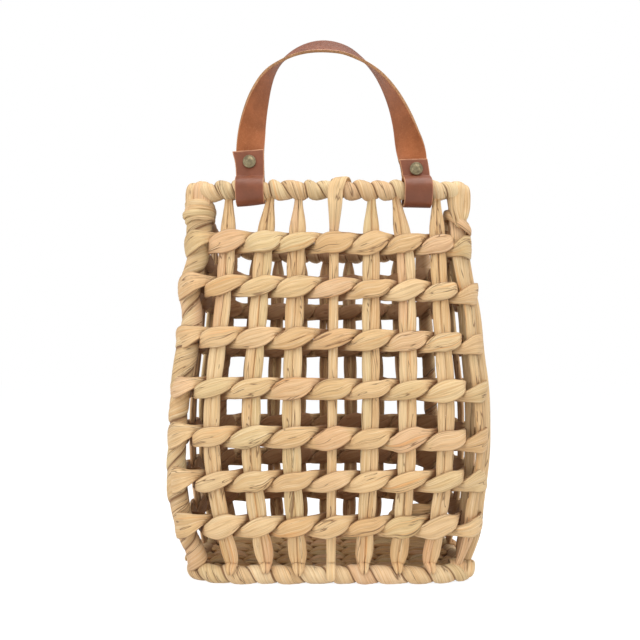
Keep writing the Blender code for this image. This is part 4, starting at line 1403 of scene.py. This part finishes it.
def base_stake(k):
    """One of the flat stakes that cross the floor."""
    rng = np.random.default_rng(6000 + k)
    near = WALL.point(1.0, foot_level())[1] + BORDER_DIAMETER / 2 * 0.5
    far = WALL.point(FAR_POSTS[0] + 1.0, foot_level())[1] - BORDER_DIAMETER / 2 * 0.5
    share = 2 * k / (BASE_STAKES - 1) - 1
    ends = [share * BASE_SPREAD * min(base_line(y, -1), base_line(y, 1)) for y in (near + 0.012, far - 0.012)]
    y = np.linspace(near, far, 70)
    centre = np.stack([np.interp(y, (near, far), ends), y, np.full(len(y), BASE_HEIGHT)], axis=1)
    out = np.tile([0.0, 0.0, 1.0], (len(y), 1))
    out, up = square_up(centre, out)
    run = path_length(centre)
    angles = even_angles(18, 0.35)
    looks = bpy.context.scene.basket_strands
    dents = creases(rng, run, run[-1], angles, 3, looks.crease_depth * 0.4, 0.12)
    taper = rounded_ends(run, 0.004)
    half = BASE_STAKE_WIDTH / 2 * (1 + 0.08 * Wander(rng, run[-1], 0.03)(run))
    points = ribbon(centre, out, up, half * taper, BASE_STAKE_THICKNESS / 2 * taper, angles,
                    dents * taper[:, None])
    girth = girth_of(angles, BASE_STAKE_THICKNESS / 2, BASE_STAKE_WIDTH / 2)
    made = surface(f"floor_stake_{k + 1}", points, run, girth, growth_along(rng, 4, run / run[-1] * 2.9))
    dress(made, fibre_for("base_fibre"), BASKET, [f"base_stake_{k + 1}"])
    return made


def loop_route(tab):
    """The strap round the rim, seen from the end: tab, bend under the rope, and up behind.

    Each place is (out of the wall, above the rim's centre)."""
    layer = (STRAP_THICKNESS + GAP) / 2
    radius = RIM_DIAMETER / 2 + LOOP_CLEARANCE + STRAP_THICKNESS / 2
    reach = hypot(layer, LAYERS_MEET)
    touch = degrees(atan2(LAYERS_MEET, layer)) - degrees(acos(radius / reach))
    arc = [touch - (touch + 90) * 2 * k / LOOP_STEPS for k in range(LOOP_STEPS + 1)]
    tab_places = np.linspace(tab, LAYERS_MEET, 9)
    route = [(layer, place) for place in tab_places]
    route += [(radius * cos(radians(a)), radius * sin(radians(a))) for a in arc]
    route += [(-layer, LAYERS_MEET), (-layer, LAYERS_MEET + STRAP_THICKNESS)]
    return route


def strap_stations(axis):
    """Places along the strap, each a centre and the direction of the strap's width."""
    middle = sum(LOOP_PLACES) / 2
    half_span = (LOOP_PLACES[1] - LOOP_PLACES[0]) / 2
    layer = (STRAP_THICKNESS + GAP) / 2
    across = Vector((-1, 0, 0))
    left = [(axis + Vector((LOOP_PLACES[0], -out, up)), across) for out, up in loop_route(TAB_RISES[0])]
    right = [(axis + Vector((LOOP_PLACES[1], -out, up)), -across) for out, up in loop_route(TAB_RISES[1])]
    stations = left[:-1]
    knots = [left[-1][0]]
    rolls = [90]
    for x, z, roll in ARCH_SHARES:
        knots.append(axis + Vector((middle + x * half_span, layer, z * HANDLE_RISE)))
        rolls.append(roll)
    knots.append(right[-1][0])
    rolls.append(90)
    padded = [left[-2][0], *knots, right[-2][0]]
    padded_rolls = [90, *rolls, 90]
    arch = []
    for k in range(len(knots) - 1):
        for step in range(ARCH_STEPS):
            u = step / ARCH_STEPS
            arch.append((through(padded[k:k + 4], u), through(padded_rolls[k:k + 4], u)))
    arch.append((knots[-1], 90))
    for k, (place, roll) in enumerate(arch):
        before = arch[k - 1][0] if k else left[-2][0]
        after = arch[k + 1][0] if k + 1 < len(arch) else right[-2][0]
        tangent = (after - before).normalized()
        radial = tangent.cross(Vector((0, 1, 0))).normalized()
        grain = radial * cos(radians(roll)) + Vector((0, 1, 0)) * sin(radians(roll))
        stations.append((place, tangent.cross(grain).normalized()))
    return stations + right[-2::-1]


def apply_all(made):
    """Apply an object's modifiers in their order."""
    deselect()
    made.select_set(True)
    bpy.context.view_layer.objects.active = made
    for change in list(made.modifiers):
        bpy.ops.object.modifier_apply(modifier=change.name)


def shape_tab(points, places, from_end, rise, shape):
    """Give one end of the band its slanted cut, its flared corners and its lean, as worn leather lies."""
    end_shift, low_shift, flare_left, flare_right, slant, hang, tilt = shape
    at_end = np.exp(-(from_end / 0.007) ** 1.5)[:, None]
    height = places[:, 2] - HINGE[2]
    climb = np.clip((height + RIM_DIAMETER / 2) / (rise + RIM_DIAMETER / 2), 0, 1)
    fade = (1 - ease((height - rise) / 0.035)) * (from_end < from_end.max() / 2)
    shift = (low_shift + (end_shift - low_shift) * climb ** 2.2) * fade
    x = points[..., 0] - places[:, None, 0]
    flare = np.where(x < 0, -flare_left, flare_right) * np.abs(x) / (STRAP_WIDTH / 2)
    points[..., 0] += shift[:, None] + flare * at_end
    points[..., 2] += slant * x * at_end
    low = ease(-height / (RIM_DIAMETER / 2 + LOOP_CLEARANCE)) * (from_end < from_end.max() / 2)
    points[..., 2] -= (hang - tilt * x) * low[:, None]


def strap():
    """The leather strap: one band from tab to tab, with its grain, its flesh side and its cut edges."""
    looks = bpy.context.scene.basket_trim
    axis = Vector(HINGE)
    stations = strap_stations(axis)
    places = np.array([place for place, _ in stations])
    widths = np.array([width for _, width in stations])
    lanes = np.linspace(-0.5, 0.5, STRAP_LANES + 1)
    cupped = looks.strap_cup * (1 - (2 * lanes) ** 2)
    tangent = unit(np.gradient(places, axis=0))
    normal = unit(np.cross(widths, tangent))
    rng = np.random.default_rng(77)
    run = path_length(places)
    _, edge_wave = [Wander(rng, run[-1], finest) for finest in (0.02, 0.04)]
    edge = STRAP_WIDTH + 0.00025 * edge_wave(run)
    flat = np.minimum(run, run[-1] - run) > 0.045
    points = (places[:, None, :] + widths[:, None, :] * (lanes[None, :] * edge[:, None])[..., None]
              + normal[:, None, :] * (cupped[None, :] * flat[:, None])[..., None])
    for from_end, rise, shape in zip((run, run[-1] - run), TAB_RISES, TAB_SHAPES):
        shape_tab(points, places, from_end, rise, shape)
    growth = np.full((len(stations), 3), 0.5)
    from_end = np.minimum(run, run[-1] - run)
    made = surface("strap_leather_band", points, from_end, lanes * STRAP_WIDTH, growth)
    colours = bpy.context.scene.basket_colours
    for builder, name, colour in ((grain_leather, "strap_grain_side", colours.grain_side),
                                  (flesh_leather, "strap_flesh_side", colours.flesh_side),
                                  (cut_leather, "strap_cut_edge", colours.cut_edge)):
        made.data.materials.append(made_once(builder, name, tuple(colour)))
    shell = made.modifiers.new("thickness", "SOLIDIFY")
    shell.thickness = STRAP_THICKNESS - 0.0001
    shell.offset = 0
    shell.material_offset = 1
    shell.material_offset_rim = 2
    soften_edges(made, looks.edge_round, 50)
    apply_all(made)
    bpy.ops.object.shade_smooth_by_angle(angle=radians(35))
    settle(made, HANDLE, ["handle_strap"])
    return made


def select_faces(test):
    """In edit mode, select the active mesh's faces whose centre and normal pass a test."""
    made = bpy.context.object
    bpy.ops.mesh.select_all(action="DESELECT")
    bpy.ops.object.mode_set(mode="OBJECT")
    for face in made.data.polygons:
        face.select = bool(test(face.center, face.normal))
    bpy.ops.object.mode_set(mode="EDIT")


def rod(name, diameter, depth, centre):
    """A cylinder through the strap, with its place in its mesh, open for face-by-face work."""
    deselect()
    bpy.ops.mesh.primitive_cylinder_add(vertices=RIVET_SIDES, radius=diameter / 2, depth=depth,
                                        end_fill_type="NGON", location=centre, rotation=(pi / 2, 0, 0))
    made = bpy.context.object
    made.name = name
    bpy.ops.object.transform_apply(location=True, rotation=True, scale=True)
    bpy.ops.object.mode_set(mode="EDIT")
    bpy.ops.mesh.select_mode(type="FACE")
    return made


def soften_edges(made, width, angle):
    """Round the edges that are sharper than an angle."""
    soften = made.modifiers.new("soft edges", "BEVEL")
    soften.width = width
    soften.segments = 2
    soften.limit_method = "ANGLE"
    soften.angle_limit = radians(angle)


def dress_rivet(made, node):
    """Give a rivet's piece its brass."""
    brass = made_once(aged_brass, "aged_brass", tuple(bpy.context.scene.basket_colours.brass))
    dress(made, brass, HANDLE, [node])


def rivet_face(side, x, rise):
    """A domed cap with a turned ring round its edge."""
    face = STRAP_THICKNESS + GAP / 2 + 0.0001
    centre = Vector(HINGE) + Vector((x, -face - RIVET_SKIRT / 2, rise))
    made = rod(f"rivet_face_{side}", RIVET_DIAMETER, RIVET_SKIRT, centre)
    select_faces(lambda middle, normal: normal.y < -0.9)
    for inset, push in RIVET_PROFILE:
        bpy.ops.mesh.inset(thickness=inset * RIVET_DIAMETER, depth=0)
        bpy.ops.transform.translate(value=(0, -push * RIVET_DOME, 0))
    bpy.ops.object.mode_set(mode="OBJECT")
    round_off = made.modifiers.new("rounded", "SUBSURF")
    round_off.levels = 2
    round_off.render_levels = 2
    apply_all(made)
    bpy.ops.object.shade_smooth()
    tool_marks(made, np.random.default_rng(88 if side == "left" else 89))
    dress_rivet(made, f"rivet_cap_{side}")
    return made


def tool_marks(made, rng):
    """Small seeded dents over a hammered rivet's face."""
    mesh = made.data
    flat = np.empty(len(mesh.vertices) * 3)
    mesh.vertices.foreach_get("co", flat)
    points = flat.reshape(-1, 3)
    front = points[:, 1] < points[:, 1].mean()
    for _ in range(9):
        home = points[rng.integers(len(points))]
        away = np.linalg.norm(points - home, axis=1)
        points[:, 1] += front * 0.00006 * np.exp(-(away / 0.0009) ** 2)
    mesh.vertices.foreach_set("co", points.ravel())
    mesh.update()


def rivet_shank(side, x, rise):
    """The rivet's post through both layers, with its flat head behind them."""
    face = STRAP_THICKNESS + GAP / 2
    start = -face - SHANK_START
    centre = Vector(HINGE) + Vector((x, (start + face) / 2, rise))
    made = rod(f"rivet_shank_{side}", SHANK_DIAMETER, face - start, centre)
    select_faces(lambda middle, normal: normal.y > 0.9)
    centre = Vector(HINGE) + Vector((x, 0, rise))
    grow = REAR_HEAD_DIAMETER / SHANK_DIAMETER
    steps = ((0.00002, grow), (REAR_HEAD_THICKNESS * 0.6, 1.0), (REAR_HEAD_THICKNESS * 0.3, 0.92),
             (0.00002, 0.60), (-REAR_HEAD_THICKNESS * 0.25, 0.80))
    for push, scale in steps:
        bpy.ops.mesh.extrude_region_move(TRANSFORM_OT_translate={"value": (0, push, 0)})
        bpy.ops.transform.resize(value=(scale, 1, scale), center_override=centre)
    bpy.ops.object.mode_set(mode="OBJECT")
    soften_edges(made, 0.00012, 40)
    apply_all(made)
    bpy.ops.object.shade_smooth_by_angle(angle=radians(35))
    dress_rivet(made, f"rivet_post_{side}")
    return made


# Settings


def length(name, description, default):
    """A length property."""
    return FloatProperty(name=name, description=description, default=default, unit="LENGTH",
                         subtype="DISTANCE", precision=5)


def colour_of(name, description, *display):
    """A colour property, from a display colour, 0 to 255."""
    return FloatVectorProperty(name=name, description=description, default=light(*display),
                               subtype="COLOR", size=3, min=0, max=1)


class BasketStrands(bpy.types.PropertyGroup):
    """Sizes of the plant strands."""

    leaf_height: length("Leaf height", "Height of a row's strand where it lies over a stake", 0.0150)
    leaf_thickness: length("Leaf thickness", "Thickness of a row's strand", 0.0037)
    crossing_height: length("Crossing height", "Height of a strand where two cross", 0.0076)
    leaf_slant: length("Leaf slant", "Extra rise of a strand from one stake to the next", 0.0040)
    leaf_lean: FloatProperty(name="Leaf lean", description="How far a strand leans on its way in",
                             default=0.16, subtype="ANGLE", unit="ROTATION")
    crease_depth: length("Crease depth", "Depth of the lengthwise creases", 0.00042)
    fibre_depth: length("Fibre depth", "Depth of the fine fibres in the surface", 0.00022)
    corner_leaf: FloatProperty(name="Corner leaf", description="How much broader a strand lies at a corner",
                               default=1.16, subtype="FACTOR")
    big_leaf: FloatProperty(name="Big leaf", description="How much broader a few chosen leaves are",
                            default=1.16, subtype="FACTOR")
    stake_width: length("Stake width", "Width of a pair of stake strands between the rows", 0.0128)
    post_width: length("Post width", "Mean width of a wound corner post", 0.0160)
    post_pitch: length("Post pitch", "Distance from one wind of a corner post to the next", 0.0285)
    post_fold: length("Post fold", "How far each wind of a corner post stands over the next", 0.0013)
    fold_thickness: length("Fold thickness", "Thickness of the strands folded over the rim", 0.0026)
    rim_pitch: length("Rim pitch", "Distance from one wind of the rim to the next", 0.0126)
    rim_bulge: length("Rim bulge", "How far each wind of the rim stands proud", 0.0027)
    border_pitch: length("Border pitch", "Distance from one wind of the foot's rope to the next", 0.0180)
    border_bulge: length("Border bulge", "How far each wind of the foot's rope stands proud", 0.0020)
    floor_pitch: length("Floor pitch", "Distance from one row of the floor to the next", 0.0105)
    floor_thickness: length("Floor thickness", "Thickness of the floor's strands", 0.0026)


class BasketTrim(bpy.types.PropertyGroup):
    """Sizes of the strap."""

    strap_cup: length("Strap cup", "How far the strap's middle stands out of its edges", 0.00030)
    edge_round: length("Edge round", "Rounding of the strap's cut edges", 0.00035)


class BasketColours(bpy.types.PropertyGroup):
    """Colours of the plant, the leather and the brass."""

    pale_strand: colour_of("Pale strand", "The lightest plant strands", 238, 208, 160)
    tan_strand: colour_of("Tan strand", "The darker plant strands", 216, 172, 118)
    # Painted shade in the bottoms of grooves
    groove_shade: colour_of("Groove", "The bottoms of grooves and clefts", 140, 92, 52)
    grain_side: colour_of("Grain side", "The strap's smooth side", 130, 70, 40)
    flesh_side: colour_of("Flesh side", "The strap's rough side", 158, 88, 42)
    cut_edge: colour_of("Cut edge", "The strap's cut edges", 188, 140, 98)
    brass: colour_of("Brass", "The rivets' rubbed brass", 150, 138, 108)


class BasketStage(bpy.types.PropertyGroup):
    """The camera and the light."""

    camera_height: length("Camera height", "Height of the level camera", 0.145)
    camera_distance: length("Camera distance", "Distance of the camera from the origin", 0.482)
    camera_side: length("Camera side", "Distance of the camera to the left", 0.0056)
    focal_length: FloatProperty(name="Focal length", description="Focal length on a 36 mm sensor",
                                default=32.7, unit="CAMERA")
    shift: FloatProperty(name="Shift", description="Upward shift of the view", default=0.0947,
                         subtype="FACTOR")
    sky: FloatProperty(name="Sky", description="Strength of the even light", default=0.36)
    lamp: FloatProperty(name="Lamp", description="Strength of the large lamp", default=9.6, unit="POWER")
    floor_glow: FloatProperty(name="Floor glow", description="Lift of the floor that the camera sees",
                              default=0.88)
    floor_size: length("Floor size", "Width of the floor", 40.0)


# Operators


class BASKET_OT_stakes(bpy.types.Operator):
    """Dress every stake as flattened plant strands"""

    bl_idname = "basket.stakes"
    bl_label = "Stakes"

    def execute(self, context):
        posts = (*NEAR_POSTS, *FAR_POSTS, UPRIGHTS)
        for wall_side, post_before, post_after in zip(("near", "right", "far", "left"), posts, posts[1:]):
            for number in range(1, post_after - post_before):
                node = f"{wall_side}_stake_{number}"
                stake(post_before + number, f"plant_stake_{wall_side}_{number}", node)
        return {"FINISHED"}


class BASKET_OT_posts(bpy.types.Operator):
    """Dress the four corner posts as bundles of strands"""

    bl_idname = "basket.posts"
    bl_label = "Corner posts"

    def execute(self, context):
        corners = {0: "near_left", 8: "near_right", 12: "far_right", 20: "far_left"}
        for index, corner in corners.items():
            post(index, f"plant_post_{corner}", f"corner_post_{corner}")
        return {"FINISHED"}


class BASKET_OT_rows(bpy.types.Operator):
    """Dress the twined rows, two strands each"""

    bl_idname = "basket.rows"
    bl_label = "Twined rows"

    def execute(self, context):
        for row in range(len(ROW_SHARES)):
            row_strands(row)
        return {"FINISHED"}


class BASKET_OT_ropes(bpy.types.Operator):
    """Wind the rim's and the foot's ropes"""

    bl_idname = "basket.ropes"
    bl_label = "Rim and foot ropes"

    def execute(self, context):
        looks = context.scene.basket_strands
        rim = wound_rope("rim_winding", 1.0, RIM_DIAMETER + 0.0004, looks.rim_bulge, looks.rim_pitch,
                         np.random.default_rng(41))
        dress(rim, fibre_for("rope_fibre"), BASKET, ["rim_rope"])
        border = wound_rope("foot_winding", foot_level(), BORDER_DIAMETER + 0.0002, looks.border_bulge,
                            looks.border_pitch, np.random.default_rng(42), 0.0)
        dress(border, fibre_for("rope_fibre"), BASKET, ["border_rope"])
        return {"FINISHED"}


class BASKET_OT_floor(bpy.types.Operator):
    """Dress the basket's woven floor"""

    bl_idname = "basket.floor"
    bl_label = "Woven floor"

    def execute(self, context):
        floor_weave()
        for k in range(BASE_STAKES):
            base_stake(k)
        return {"FINISHED"}


class BASKET_OT_strap(bpy.types.Operator):
    """Make the leather strap"""

    bl_idname = "basket.strap"
    bl_label = "Strap"

    def execute(self, context):
        strap()
        return {"FINISHED"}


class BASKET_OT_rivets(bpy.types.Operator):
    """Make the two rivets, each a face and a shank"""

    bl_idname = "basket.rivets"
    bl_label = "Rivets"

    def execute(self, context):
        for side, x, rise in zip(("left", "right"), LOOP_PLACES, RIVET_RISES):
            rivet_face(side, x, rise)
            rivet_shank(side, x, rise)
        return {"FINISHED"}


class BASKET_OT_stage(bpy.types.Operator):
    """Set the floor, the light and the camera"""

    bl_idname = "basket.stage"
    bl_label = "Stage"

    def execute(self, context):
        stage = context.scene.basket_stage
        deselect()
        bpy.ops.mesh.primitive_plane_add(size=stage.floor_size, location=(0, 0, -0.0002))
        floor = context.object
        floor.name = "pale_floor"
        floor.data.materials.append(lit_floor("pale_floor", stage.floor_glow))
        set_sky(context.scene, stage.sky)
        for name, place, aim, size, share, tint in LAMPS:
            add_lamp(name, place, aim, size, share * stage.lamp, tint)
        bpy.ops.object.camera_add(location=(-stage.camera_side, -stage.camera_distance, stage.camera_height),
                                  rotation=(pi / 2, 0, 0))
        camera = context.object
        camera.name = "photo_camera"
        camera.data.lens = stage.focal_length
        camera.data.sensor_width = 36
        camera.data.shift_y = stage.shift
        camera.data.clip_start = 0.01
        context.scene.camera = camera
        context.scene.view_settings.view_transform = "Standard"
        return {"FINISHED"}


def add_lamp(name, place, aim, size, power, tint):
    """A square lamp that faces a point."""
    towards = (Vector(aim) - Vector(place)).to_track_quat("-Z", "Y").to_euler()
    bpy.ops.object.light_add(type="AREA", location=place, rotation=towards)
    lamp = bpy.context.object
    lamp.name = name
    lamp.data.shape = "SQUARE"
    lamp.data.size = size
    lamp.data.energy = power
    lamp.data.color = tint


def set_sky(scene, strength):
    """Even light from all round, behind a white that only the camera sees."""
    sheet = NodeSheet("studio", bpy.data.worlds)
    seen = sheet.node("ShaderNodeLightPath", {}, {}, "Is Camera Ray")
    passed = sheet.node("ShaderNodeLightPath", {}, {}, "Is Transmission Ray")
    even = sheet.node("ShaderNodeBackground", {}, {"Color": (0.98, 0.99, 1.0, 1), "Strength": strength})
    white = sheet.node("ShaderNodeBackground", {}, {"Color": (1, 1, 1, 1), "Strength": 1.0})
    shows = seen.maths("MAXIMUM", seen, passed)
    mix = sheet.node("ShaderNodeMixShader", {}, {0: shows, 1: even, 2: white})
    scene.world = sheet.shown(mix.socket, "ShaderNodeOutputWorld")


OPERATORS = (
    BASKET_OT_stakes, BASKET_OT_posts, BASKET_OT_rows, BASKET_OT_ropes, BASKET_OT_floor,
    BASKET_OT_strap, BASKET_OT_rivets, BASKET_OT_stage,
)
SETTINGS = {
    "basket_strands": BasketStrands, "basket_trim": BasketTrim,
    "basket_colours": BasketColours, "basket_stage": BasketStage,
}


class BASKET_PT_looks(bpy.types.Panel):
    """The basket's pieces and their settings"""

    bl_idname = "BASKET_PT_looks"
    bl_label = "Wall basket"
    bl_space_type = "VIEW_3D"
    bl_region_type = "UI"
    bl_category = "Basket"

    def draw(self, context):
        for operator in OPERATORS:
            self.layout.operator(operator.bl_idname)
        for name, group in SETTINGS.items():
            box = self.layout.box()
            for key in group.__annotations__:
                box.prop(getattr(context.scene, name), key)


def register():
    """Add the settings, the operators and the panel."""
    for group in (*SETTINGS.values(), *OPERATORS, BASKET_PT_looks):
        bpy.utils.register_class(group)
    for name, group in SETTINGS.items():
        setattr(bpy.types.Scene, name, PointerProperty(type=group))


def unregister():
    """Take the panel, the operators and the settings away."""
    for name in SETTINGS:
        delattr(bpy.types.Scene, name)
    for group in reversed((*SETTINGS.values(), *OPERATORS, BASKET_PT_looks)):
        bpy.utils.unregister_class(group)


def main():
    """Make every piece in order."""
    register()
    bpy.ops.basket.stakes()
    bpy.ops.basket.posts()
    bpy.ops.basket.rows()
    bpy.ops.basket.ropes()
    bpy.ops.basket.floor()
    bpy.ops.basket.strap()
    bpy.ops.basket.rivets()
    bpy.ops.basket.stage()
    deselect()


if __name__ == "__main__":
    main()
